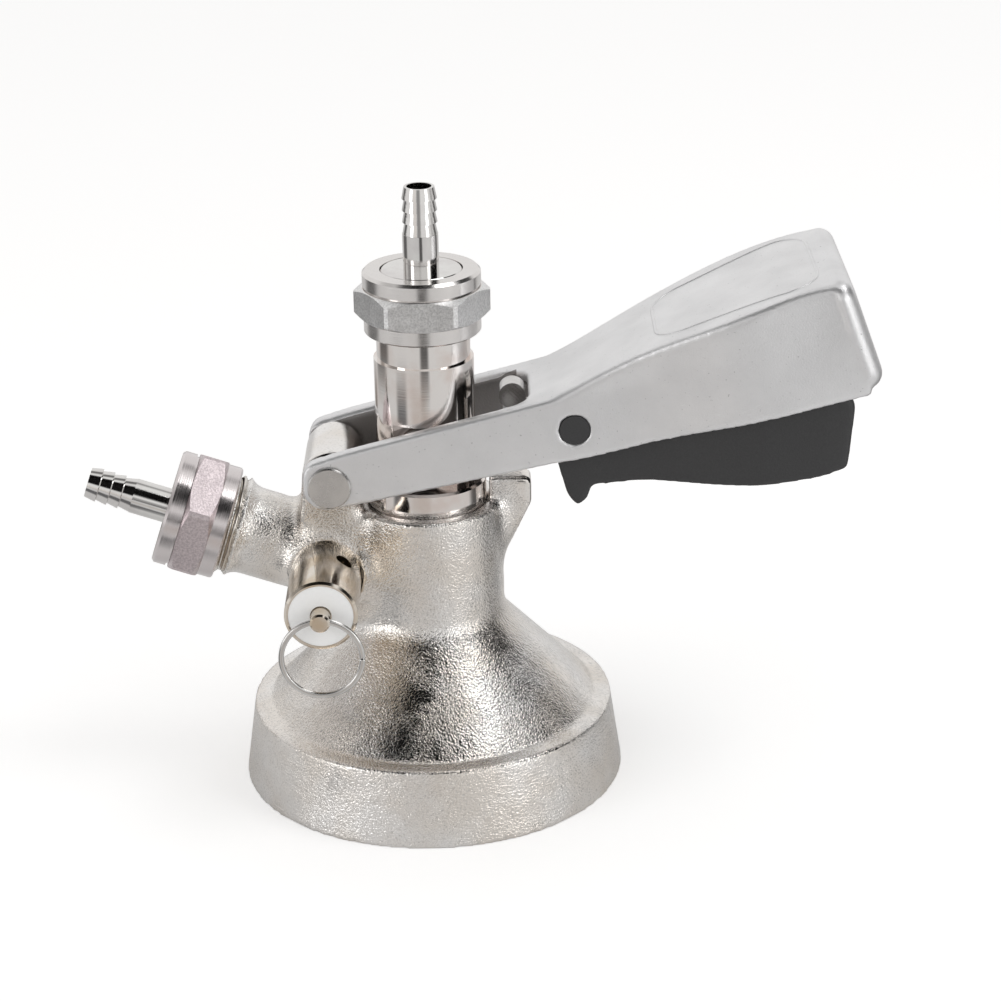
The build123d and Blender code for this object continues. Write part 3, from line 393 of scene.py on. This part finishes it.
def cast_nickel():
    # Brass sand casting plated with nickel: a warm mirror broken up by the pebbles of the mould,
    # with smooth pads where the knuckle and the catch were machined before plating.
    material, tree = new_material("nickel_plated_sand_casting")
    place = node(tree, "ShaderNodeTexCoord").outputs["Object"]
    pebbles = node(
        tree, "ShaderNodeTexNoise", {"Scale": 1 / grain, "Detail": 2.0, "Roughness": 0.55},
        {"Vector": place},
    )
    knuckle = between(tree, out_from(tree, place, pivot, crosswise), whole, knuckle_pad, 1.0 * mm)
    catch = between(tree, out_from(tree, place, catch_middle, crosswise), whole, catch_pad, 0.3 * mm)
    smooth = node(tree, "ShaderNodeMath", {"operation": "MAXIMUM"}, {0: knuckle, 1: catch})
    depth = node(tree, "ShaderNodeMapRange", {"To Min": 1.0, "To Max": 0.12}, {"Value": smooth.outputs[0]})
    patches = node(tree, "ShaderNodeTexNoise", {"Scale": 1 / (9 * mm), "Detail": 2.0}, {"Vector": place})
    patch_depth = node(
        tree, "ShaderNodeMapRange", {"From Min": 0.35, "From Max": 0.62, "To Min": 0.55, "To Max": 1.0},
        {"Value": patches.outputs["Fac"]},
    )
    strength = node(
        tree, "ShaderNodeMath", {"operation": "MULTIPLY"},
        {0: depth.outputs[0], 1: patch_depth.outputs[0]},
    )
    bump = node(
        tree, "ShaderNodeBump", {"Distance": 0.25 * mm},
        {"Height": pebbles.outputs["Fac"], "Strength": strength.outputs[0]},
    )
    swell = node(tree, "ShaderNodeTexNoise", {"Scale": 1 / (3.0 * mm), "Detail": 1.0}, {"Vector": place})
    waves = node(
        tree, "ShaderNodeBump", {"Distance": 0.12 * mm},
        {"Height": swell.outputs["Fac"], "Strength": depth.outputs[0], "Normal": bump.outputs[0]},
    )
    blotches = node(tree, "ShaderNodeTexNoise", {"Scale": 1 / (16 * mm), "Detail": 3.0}, {"Vector": place})
    warmth = node(
        tree, "ShaderNodeMapRange", {"From Min": 0.38, "From Max": 0.62},
        {"Value": blotches.outputs["Fac"]},
    )
    hollows = node(
        tree, "ShaderNodeMapRange", {"From Min": 0.28, "From Max": 0.45},
        {"Value": pebbles.outputs["Fac"]},
    )
    skin = node(
        tree, "ShaderNodeMix", {"data_type": "RGBA", 6: linear("#D0CDC9")},
        {0: hollows.outputs[0], 7: blend(tree, warmth.outputs[0], "#ECEAE8", "#E4DED7")},
    )
    shader = node(
        tree, "ShaderNodeBsdfPrincipled", {"Metallic": 1.0, "Roughness": 0.1},
        {"Base Color": skin.outputs[2], "Normal": waves.outputs[0]},
    )
    close(tree, shader)
    return material


def turned(name, start, axis, light, warm, roughness, depth):
    # Turned bar, plated or polished: a mirror with the fine rings of the lathe tool round its axis.
    material, tree = new_material(name)
    place = node(tree, "ShaderNodeTexCoord").outputs["Object"]
    run = node(
        tree, "ShaderNodeMath", {"operation": "ADD"},
        {0: along(tree, place, start, axis), 1: out_from(tree, place, start, axis)},
    )
    count = node(tree, "ShaderNodeMath", {"operation": "DIVIDE", 1: turning_mark}, {0: run.outputs[0]})
    rings = node(
        tree, "ShaderNodeTexNoise", {"noise_dimensions": "1D", "Scale": 1.0, "Detail": 2.0},
        {"W": count.outputs[0]},
    )
    bump = node(
        tree, "ShaderNodeBump", {"Strength": 1.0, "Distance": depth}, {"Height": rings.outputs["Fac"]},
    )
    film = node(tree, "ShaderNodeTexNoise", {"Scale": 1 / (6 * mm), "Detail": 3.0}, {"Vector": place})
    share = node(
        tree, "ShaderNodeMapRange", {"From Min": 0.4, "From Max": 0.65}, {"Value": film.outputs["Fac"]},
    )
    worn = node(
        tree, "ShaderNodeMapRange",
        {"From Min": 0.3, "From Max": 0.7, "To Min": 0.7 * roughness, "To Max": 1.3 * roughness},
        {"Value": film.outputs["Fac"]},
    )
    shader = node(
        tree, "ShaderNodeBsdfPrincipled", {"Metallic": 1.0},
        {
            "Base Color": blend(tree, share.outputs[0], light, warm),
            "Roughness": worn.outputs[0],
            "Normal": bump.outputs[0],
        },
    )
    close(tree, shader)
    return material


flat_edge = 0.05 * mm      # how far inside the hexagon its grain stops
collar_radius = 12.72 * mm # the flats lie farther out than the collars do
nut_reach = 20 * mm


def union_nut(name, start, axis, flats, dark_grain, collars):
    # Hexagon bar: the flats keep the grain of the drawn bar, and the collars are turned and brighter.
    material, tree = new_material(name)
    place = node(tree, "ShaderNodeTexCoord").outputs["Object"]
    height = along(tree, place, start, axis)
    radius = out_from(tree, place, start, axis)
    flat = node(
        tree, "ShaderNodeMath", {"operation": "MULTIPLY"},
        {
            0: between(tree, height, hexagon[0] + flat_edge, hexagon[1] - flat_edge, 0.03 * mm),
            1: between(tree, radius, collar_radius, nut_reach, 0.05 * mm),
        },
    ).outputs[0]
    run = node(tree, "ShaderNodeMath", {"operation": "ADD"}, {0: height, 1: radius})
    count = node(tree, "ShaderNodeMath", {"operation": "DIVIDE", 1: turning_mark}, {0: run.outputs[0]})
    rings = node(
        tree, "ShaderNodeTexNoise", {"noise_dimensions": "1D", "Scale": 1.0, "Detail": 2.0},
        {"W": count.outputs[0]},
    )
    grit = node(
        tree, "ShaderNodeTexNoise", {"Scale": 1 / (0.42 * mm), "Detail": 2.0, "Roughness": 0.7},
        {"Vector": place},
    )
    relief = node(
        tree, "ShaderNodeMix", {"data_type": "FLOAT"},
        {0: flat, 2: rings.outputs["Fac"], 3: grit.outputs["Fac"]},
    )
    depth = node(tree, "ShaderNodeMix", {"data_type": "FLOAT", 2: 0.1, 3: 0.5}, {0: flat})
    bump = node(
        tree, "ShaderNodeBump", {"Distance": 0.08 * mm},
        {"Height": relief.outputs[0], "Strength": depth.outputs[0]},
    )
    wear = node(
        tree, "ShaderNodeTexNoise", {"Scale": 1 / (2.5 * mm), "Detail": 4.0, "Roughness": 0.6},
        {"Vector": place},
    )
    mottle = node(
        tree, "ShaderNodeMapRange", {"From Min": 0.3, "From Max": 0.7, "To Min": -0.05, "To Max": 0.05},
        {"Value": wear.outputs["Fac"]},
    )
    base = node(tree, "ShaderNodeMix", {"data_type": "FLOAT", 2: 0.2, 3: 0.36}, {0: flat})
    roughness = node(
        tree, "ShaderNodeMath", {"operation": "ADD"}, {0: base.outputs[0], 1: mottle.outputs[0]},
    )
    sparkle = node(
        tree, "ShaderNodeMapRange", {"From Min": 0.36, "From Max": 0.64}, {"Value": grit.outputs["Fac"]},
    )
    grained = node(
        tree, "ShaderNodeMix", {"data_type": "RGBA", 6: linear(dark_grain), 7: linear(flats)},
        {0: sparkle.outputs[0]},
    )
    skin = node(
        tree, "ShaderNodeMix", {"data_type": "RGBA", 6: linear(collars)}, {0: flat, 7: grained.outputs[2]},
    )
    shader = node(
        tree, "ShaderNodeBsdfPrincipled", {"Metallic": 1.0},
        {"Base Color": skin.outputs[2], "Roughness": roughness.outputs[0], "Normal": bump.outputs[0]},
    )
    close(tree, shader)
    return material


# The hollow of the lever, where shade is painted: its half width, the line of its roof, where the arms end, and
# the inner face of the hood's end wall as a direction and a distance along it.
hollow_half_width = 11.2 * mm
roof_slope = 0.42
roof_height = 78.7 * mm
arms_end = 20 * mm
into_wall = 1.0 * mm       # the painted shade stops inside the wall, so neither face shows its edge
end_wall_normal = Vector((0.9406, 0, 0.3398))
end_wall_inner = end_wall_normal.dot(Vector((89.5, 0, 106.35))) * mm


def cast_lever():
    # Pressure die-cast zinc, tumbled: satin grey with a fine grit, cloudy patches and handling scratches.
    material, tree = new_material("tumbled_zinc_die_casting")
    place = node(tree, "ShaderNodeTexCoord").outputs["Object"]
    grit = node(
        tree, "ShaderNodeTexNoise", {"Scale": 1 / (0.4 * mm), "Detail": 3.0, "Roughness": 0.65},
        {"Vector": place},
    )
    clouds = node(
        tree, "ShaderNodeTexNoise", {"Scale": 1 / (11 * mm), "Detail": 4.0, "Roughness": 0.55},
        {"Vector": place},
    )
    lengthwise = node(
        tree, "ShaderNodeMapping",
        {"vector_type": "TEXTURE", "Rotation": (0, radians(-24), 0), "Scale": (14, 1.0, 0.7)},
        {"Vector": place},
    )
    streaks = node(
        tree, "ShaderNodeTexNoise", {"Scale": 1 / (0.5 * mm), "Detail": 2.0},
        {"Vector": lengthwise.outputs[0]},
    )
    scratches = node(
        tree, "ShaderNodeMapRange", {"From Min": 0.66, "From Max": 0.74},
        {"Value": streaks.outputs["Fac"]},
    )
    fine = node(
        tree, "ShaderNodeBump", {"Strength": 0.7, "Distance": 0.09 * mm},
        {"Height": grit.outputs["Fac"]},
    )
    cut = node(
        tree, "ShaderNodeBump", {"Strength": 0.4, "Distance": -0.06 * mm},
        {"Height": scratches.outputs[0], "Normal": fine.outputs[0]},
    )
    share = node(
        tree, "ShaderNodeMapRange", {"From Min": 0.3, "From Max": 0.7},
        {"Value": clouds.outputs["Fac"]},
    )
    roughness = node(
        tree, "ShaderNodeMapRange", {"From Min": 0.3, "From Max": 0.7, "To Min": 0.34, "To Max": 0.44},
        {"Value": clouds.outputs["Fac"]},
    )
    # Between the arms and under the roof the colour is painted darker, as painted shade in the lever's hollow.
    parts = node(tree, "ShaderNodeSeparateXYZ", None, {"Vector": place})
    side = node(tree, "ShaderNodeMath", {"operation": "ABSOLUTE"}, {0: parts.outputs["Y"]})
    within = node(
        tree, "ShaderNodeMath", {"operation": "LESS_THAN", 1: hollow_half_width}, {0: side.outputs[0]},
    )
    roof = node(
        tree, "ShaderNodeMath", {"operation": "MULTIPLY_ADD", 1: roof_slope, 2: roof_height},
        {0: parts.outputs["X"]},
    )
    under_roof = node(
        tree, "ShaderNodeMath", {"operation": "LESS_THAN"}, {0: parts.outputs["Z"], 1: roof.outputs[0]},
    )
    at_arms = node(tree, "ShaderNodeMath", {"operation": "LESS_THAN", 1: arms_end}, {0: parts.outputs["X"]})
    either = node(
        tree, "ShaderNodeMath", {"operation": "MAXIMUM"},
        {0: under_roof.outputs[0], 1: at_arms.outputs[0]},
    )
    rearward = node(
        tree, "ShaderNodeVectorMath", {"operation": "DOT_PRODUCT", 1: tuple(end_wall_normal)}, {0: place},
    )
    before_wall = node(
        tree, "ShaderNodeMath", {"operation": "LESS_THAN", 1: end_wall_inner + into_wall},
        {0: rearward.outputs["Value"]},
    )
    enclosed = node(
        tree, "ShaderNodeMath", {"operation": "MULTIPLY"}, {0: within.outputs[0], 1: either.outputs[0]},
    )
    # painted shade: 1 in the lever's hollow, where the darker colour stands in for shade
    painted_hollow_shade = node(
        tree, "ShaderNodeMath", {"operation": "MULTIPLY"},
        {0: enclosed.outputs[0], 1: before_wall.outputs[0]},
    )
    specks = node(tree, "ShaderNodeTexNoise", {"Scale": 1 / (0.55 * mm), "Detail": 1.0}, {"Vector": place})
    pits = node(
        tree, "ShaderNodeMapRange", {"From Min": 0.72, "From Max": 0.8, "To Max": 0.5},
        {"Value": specks.outputs["Fac"]},
    )
    pitted = node(
        tree, "ShaderNodeMix", {"data_type": "RGBA", 7: linear("#8E8E8E")},
        {0: pits.outputs[0], 6: blend(tree, share.outputs[0], "#EAEAEB", "#E0E0E1")},
    )
    # painted shade: the hollow is coloured #918E8D in place of the satin grey
    skin = node(
        tree, "ShaderNodeMix", {"data_type": "RGBA", 7: linear("#918E8D")},
        {0: painted_hollow_shade.outputs[0], 6: pitted.outputs[2]},
    )
    shader = node(
        tree, "ShaderNodeBsdfPrincipled", {"Metallic": 0.85},
        {
            "Base Color": skin.outputs[2],
            "Roughness": roughness.outputs[0],
            "Normal": cut.outputs[0],
        },
    )
    close(tree, shader)
    return material


def moulded(name, dark, light, roughness, texture, depth):
    # Moulded plastic or rubber: one colour, a fine even tooth from the mould and a soft sheen.
    material, tree = new_material(name)
    place = node(tree, "ShaderNodeTexCoord").outputs["Object"]
    tooth = node(tree, "ShaderNodeTexNoise", {"Scale": 1 / texture, "Detail": 2.0}, {"Vector": place})
    bump = node(
        tree, "ShaderNodeBump", {"Strength": 0.6, "Distance": depth}, {"Height": tooth.outputs["Fac"]},
    )
    shader = node(
        tree, "ShaderNodeBsdfPrincipled", {"Roughness": roughness},
        {"Base Color": blend(tree, tooth.outputs["Fac"], dark, light), "Normal": bump.outputs[0]},
    )
    close(tree, shader)
    return material


nickel_skin = cast_nickel()
sleeve_nickel = turned("turned_nickel_probe", origin, upright, "#E6E2DF", "#DCD1CB", 0.09, 0.002 * mm)
relief_nickel = turned(
    "turned_nickel_relief_valve", relief_middle, relief_axis, "#E0D9CF", "#D2C3AE", 0.12, 0.003 * mm,
)
beer_steel = union_nut("drawn_hexagon_steel", beer_inner_end, beer_axis, "#F0F0F0", "#CECECE", "#DEDBD9")
gas_steel = union_nut("grained_hexagon_steel", gas_inner_end, gas_axis, "#DED3D5", "#BFB4B7", "#D8D2D2")
beer_tail_steel = turned("polished_beer_tail", origin, upright, "#E0DFDD", "#D6D3D2", 0.1, 0.003 * mm)
gas_tail_steel = turned("polished_gas_tail", gas_inner_end, gas_axis, "#E0DFDD", "#D6D3D2", 0.1, 0.003 * mm)
pin_steel = turned("turned_pivot_pin", pivot, pivot_axis, "#D0CFCD", "#C6C4C2", 0.26, 0.008 * mm)
claw_steel = turned("stamped_stainless_claw", origin, upright, "#D2D0CE", "#C4C2C0", 0.22, 0.02 * mm)
wire_steel = turned("drawn_stainless_wire", origin, upright, "#CFCDCA", "#BDBBB8", 0.2, 0.01 * mm)
lever_zinc = cast_lever()
nylon = moulded("moulded_black_nylon", "#2C2C2D", "#3A3A3B", 0.5, 0.35 * mm, 0.05 * mm)
disc_plastic = moulded("white_acetal_disc", "#F8F8F7", "#FDFDFC", 0.4, 0.6 * mm, 0.01 * mm)
black_rubber = moulded("moulded_nitrile_rubber", "#202021", "#28282A", 0.6, 0.4 * mm, 0.04 * mm)
grey_silicone = moulded("moulded_grey_silicone", "#82898A", "#8E9495", 0.5, 0.5 * mm, 0.02 * mm)
acetal = moulded("moulded_white_acetal", "#D9DAD5", "#E2E3DE", 0.35, 0.5 * mm, 0.01 * mm)

slot_finishes = {
    "nickel_casting": nickel_skin,
    "turned_nickel": relief_nickel,
    "nut_steel": beer_steel,
    "gas_nut_steel": gas_steel,
    "stainless": claw_steel,
    "lever_casting": lever_zinc,
    "black_nylon": nylon,
    "white_disc": disc_plastic,
    "rubber_seal": black_rubber,
    "grey_seal": grey_silicone,
    "spring_wire": wire_steel,
    "valve_plastic": acetal,
}
own_finishes = {
    "probe": sleeve_nickel,
    "beer_hose_tail": beer_tail_steel,
    "gas_hose_tail": gas_tail_steel,
    "pivot_pin": pin_steel,
    "pivot_washers": pin_steel,
}
for entry in frame["record"]["subparts"]:
    name = entry["node"]
    for slot in frame["nodes"][name].material_slots:
        slot.material = own_finishes.get(name, slot_finishes[entry["material_slot"]])


# ---------------------------------------------------------------- skin of the casting
# The solid's creases between tube, knuckle, neck, boss and catch are sharp, where a casting's are round.
skin_cell = 0.62 * mm
fillet_reach = 7          # rings of cells round a crease that soften with it
fillet_passes = 60
crease_depth = 0.035 * mm # a vertex this far below its neighbours lies in a crease
cone_foot = 26 * mm       # the bell below here keeps its turned shape
bore_keep = 15.2 * mm     # and so does everything this near the bore
inlet_keep = -3.4 * mm    # and the inlet from here out, measured from the nut's inner end
neighbour_gap = 1.0 * mm  # the skin keeps the solid's shape this close to the pieces that seat on it
thread_pitch = 1.81 * mm
thread_crest = 11.3 * mm
thread_root = 10.35 * mm

seated_surface = surface_tree([
    "gas_nut", "gas_hose_tail", "gas_tail_washer", "relief_body", "pivot_washers", "pivot_pin",
    "probe", "probe_o_ring", "keg_seal", "gas_check_valve", "latch_claw",
])


def even_skin(name, cell, passes):
    """Edit mesh of a CAD node in small even cells that lie on its surface, with its edges broken."""
    bm = merged_copy(name)
    raw_mesh = bpy.data.meshes.new(name + "_raw")
    bm.to_mesh(raw_mesh)
    bm.free()
    raw = bpy.data.objects.new(name + "_raw", raw_mesh)
    scene.collection.objects.link(raw)
    cells = raw.modifiers.new("cells", "REMESH")
    cells.mode = "VOXEL"
    cells.voxel_size = cell
    cells.adaptivity = 0
    skin_mesh = bpy.data.meshes.new_from_object(raw.evaluated_get(bpy.context.evaluated_depsgraph_get()))
    bpy.data.objects.remove(raw)
    bpy.data.meshes.remove(raw_mesh)
    bm = bmesh.new()
    bm.from_mesh(skin_mesh)
    bpy.data.meshes.remove(skin_mesh)
    surface = surface_tree([name])
    for vert in bm.verts:
        vert.co = surface.find_nearest(vert.co)[0]
    soften(bm, bm.verts, passes)
    bm.normal_update()
    return bm


def soften(bm, verts, passes):
    for step in range(passes):
        bmesh.ops.smooth_vert(bm, verts=verts, factor=0.5, use_axis_x=True, use_axis_y=True, use_axis_z=True)


bm = even_skin("body_casting", skin_cell, 1)


def may_soften(vert):
    """True on the outside of the neck, the tube, the knuckle, the boss and the catch."""
    place = vert.co
    if place.z < cone_foot or Vector((place.x, place.y)).length < bore_keep:
        return False
    if (place - gas_inner_end).dot(gas_axis) > inlet_keep:
        return False
    return seated_surface.find_nearest(place)[3] > neighbour_gap


crease = set()
for vert in bm.verts:
    if len(vert.link_edges) and may_soften(vert):
        middle = Vector()
        for edge in vert.link_edges:
            middle += edge.other_vert(vert).co
        middle /= len(vert.link_edges)
        if (middle - vert.co).dot(vert.normal) > crease_depth:
            crease.add(vert)
soft = set(crease)
edge_ring = set(crease)
for step in range(fillet_reach):
    grown = set()
    for vert in edge_ring:
        for edge in vert.link_edges:
            other = edge.other_vert(vert)
            if other not in soft and may_soften(other):
                grown.add(other)
    soft |= grown
    edge_ring = grown
soften(bm, list(soft), fillet_passes)

# The bore's inner corner stays square, because the piston comes down to it.
bore_radius = 13.05 * mm
bore_floor = 50.8 * mm
corner_cell = 0.65 * mm
corner_inner = 11.9 * mm
corner_top = 2.5 * mm
corner_slack = 0.1 * mm
for vert in bm.verts:
    radius = Vector((vert.co.x, vert.co.y)).length
    rise = vert.co.z - bore_floor
    if corner_inner < radius < bore_radius + corner_slack and -corner_slack < rise < corner_top:
        if rise < bore_radius - radius or rise < corner_cell:
            vert.co.z = bore_floor
        if rise >= bore_radius - radius or bore_radius - radius < corner_cell:
            vert.co.x *= bore_radius / radius
            vert.co.y *= bore_radius / radius

# The threaded end is drawn in to the root of the thread, which is a piece of its own.
thread_start = -2.3 * mm
thread_end = 6.0 * mm
thread_reach = 12 * mm
for vert in bm.verts:
    height = (vert.co - gas_inner_end).dot(gas_axis)
    arm = vert.co - gas_inner_end - gas_axis * height
    if thread_start < height < thread_end and thread_root < arm.length < thread_reach:
        vert.co -= arm.normalized() * (arm.length - thread_root)
casting_skin = finished("casting_skin", bm, nickel_skin, "casting")
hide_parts("body_casting")


# ---------------------------------------------------------------- skins of the lever and the grip
# The arms' upper ends are round, concentric with the pin as near as the slope of the arm allows.
arm_end_center = Vector((-21.2, 0, 73.72)) * mm
arm_end_radius = 5.2 * mm
arm_top_normal = Vector((-0.284, 0, 0.959))
arm_end_band = 1.3 * mm    # the softened strip inside the round
hook_rear = 38.5 * mm
hook_top = 72.5 * mm
grip_rear = 86 * mm

bm = even_skin("lever_handle", 0.6 * mm, 4)
rounded = []
for vert in bm.verts:
    arm = Vector((vert.co.x, 0, vert.co.z)) - arm_end_center
    if arm.x < 0 and arm.dot(arm_top_normal) > 0:
        if arm.length > arm_end_radius:
            vert.co += arm.normalized() * (arm_end_radius - arm.length)
        if arm.length > arm_end_radius - arm_end_band:
            rounded.append(vert)
soften(bm, rounded, 3)
lever_skin = finished("lever_skin", bm, lever_zinc, "lever")
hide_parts("lever_handle")

bm = even_skin("trigger_grip", 0.55 * mm, 4)
hook = [vert for vert in bm.verts if vert.co.x < hook_rear and vert.co.z < hook_top]
soften(bm, hook, 12)
rear = [vert for vert in bm.verts if vert.co.x > grip_rear]
soften(bm, rear, 6)
grip_skin = finished("grip_skin", bm, nylon, "grip")
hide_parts("trigger_grip")


# ---------------------------------------------------------------- pipe thread behind the gas nut
def thread(name, start, axis, turns, material, body):
    """Rounded ridge that winds round an axis, with its root let into the bar."""
    side = axis.orthogonal().normalized()
    bm = bmesh.new()
    profile = [
        (thread_root - 0.3 * mm, -0.85 * mm),
        (thread_root, -0.82 * mm),
        (thread_crest - 0.2 * mm, -0.22 * mm),
        (thread_crest - 0.06 * mm, 0),
        (thread_crest - 0.2 * mm, 0.22 * mm),
        (thread_root, 0.82 * mm),
        (thread_root - 0.3 * mm, 0.85 * mm),
    ]
    corners = [bm.verts.new(start + side * reach + axis * rise) for reach, rise in profile]
    face = bm.faces.new(corners)
    steps = int(64 * turns)
    bmesh.ops.spin(
        bm, geom=[face], cent=start, axis=axis, dvec=axis * thread_pitch * turns / steps,
        angle=2 * pi * turns, steps=steps, space=Matrix.Identity(4), use_merge=False, use_duplicate=False,
    )
    piece = finished(name, bm, material, body)
    return piece


inlet_thread_steel = turned(
    "turned_nickel_thread", gas_inner_end, gas_axis, "#D8D4CE", "#C9BEB0", 0.18, 0.01 * mm,
)
thread("inlet_thread", gas_inner_end - gas_axis * 1.7 * mm, gas_axis, 2.0, inlet_thread_steel, "casting")


# ---------------------------------------------------------------- split ring of the relief valve
ring_wire = 0.33 * mm
ring_flat = 1.82          # the wire is rolled flat, wider across the ring than along its axis
ring_radius = 8.55 * mm
ring_turns = 2
ring_gap = radians(9)     # what the two coils lack of whole turns
ring_pitch = 0.97         # rise of each turn as a share of the wire, so that the coils touch
bm = bmesh.new()
start = ring_middle + Vector((ring_radius, -ring_wire, 0))
bmesh.ops.create_circle(
    bm, cap_ends=True, segments=16, radius=ring_wire,
    matrix=Matrix.Translation(start) @ Matrix.Diagonal((ring_flat, 1, 1, 1)),
)
ring_steps = ring_turns * 96
bmesh.ops.spin(
    bm, geom=bm.faces[:], cent=ring_middle, axis=Vector((0, 1, 0)),
    dvec=Vector((0, 2 * ring_wire / ring_steps * ring_pitch, 0)),
    angle=ring_turns * 2 * pi - ring_gap, steps=ring_steps, space=Matrix.Identity(4), use_merge=False,
    use_duplicate=False,
)
ring_wire_steel = turned("drawn_ring_wire", ring_middle, crosswise, "#D6D5D3", "#C3C1BF", 0.16, 0.01 * mm)
split_ring = finished("split_ring", bm, ring_wire_steel, "pull_ring")
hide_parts("relief_ring")


# ---------------------------------------------------------------- raised outline of the thumb pad
lever_surface = surface_tree(["lever_handle"])


def on_lever(x, y):
    """Point on top of the lever."""
    hit = lever_surface.ray_cast(Vector((x, y, above_lever)), downward)
    return hit[0]


pad_front, pad_rear = 49.5 * mm, 83.0 * mm
pad_half_front, pad_half_rear = 14.2 * mm, 17.6 * mm
pad_corner = 7.0 * mm
pad_line = 0.42 * mm
pad_middle = 65 * mm
pad_step = 1.2 * mm
above_lever = 0.2
outline = []
for middle_x, middle_side, turn_start in (
    (pad_rear - pad_corner, 1, 0), (pad_front + pad_corner, 1, 90),
    (pad_front + pad_corner, -1, 180), (pad_rear - pad_corner, -1, 270),
):
    half = pad_half_rear if middle_x > pad_middle else pad_half_front
    for step in range(0, 91, 10):
        angle = radians(turn_start + step)
        outline.append((
            middle_x + pad_corner * cos(angle),
            middle_side * (half - pad_corner) + pad_corner * sin(angle),
        ))
dense = []
for index, (x, y) in enumerate(outline):
    after = outline[(index + 1) % len(outline)]
    pieces = max(1, int(Vector((after[0] - x, after[1] - y)).length / pad_step))
    for share in range(pieces):
        dense.append((x + (after[0] - x) * share / pieces, y + (after[1] - y) * share / pieces))
path_curve = bpy.data.curves.new("pad_outline", "CURVE")
path_curve.dimensions = "3D"
path_curve.bevel_depth = pad_line
path_curve.bevel_resolution = 2
line = path_curve.splines.new("POLY")
line.points.add(len(dense) - 1)
for point, (x, y) in zip(line.points, dense):
    point.co = (*(on_lever(x, y) - Vector((0, 0, 0.5 * pad_line))), 1)
line.use_cyclic_u = True
path_object = bpy.data.objects.new("pad_outline_path", path_curve)
scene.collection.objects.link(path_object)
path_mesh = bpy.data.meshes.new_from_object(path_object.evaluated_get(bpy.context.evaluated_depsgraph_get()))
bpy.data.objects.remove(path_object)
bm = bmesh.new()
bm.from_mesh(path_mesh)
bmesh.ops.remove_doubles(bm, verts=bm.verts, dist=0.001 * mm)
pad_outline = finished("pad_outline", bm, lever_zinc, "lever")


# ---------------------------------------------------------------- springs, copied onto their bodies
def spring(name, node_name, body):
    """Copy of a CAD spring in a mesh of its own, riding on a body in place of the hidden CAD spring."""
    piece = finished(name, merged_copy(node_name), wire_steel, body)
    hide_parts(node_name)
    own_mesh(piece)


spring("relief_valve_spring", "relief_spring", "relief_plunger")
spring("grip_return_spring", "grip_spring", "lever")
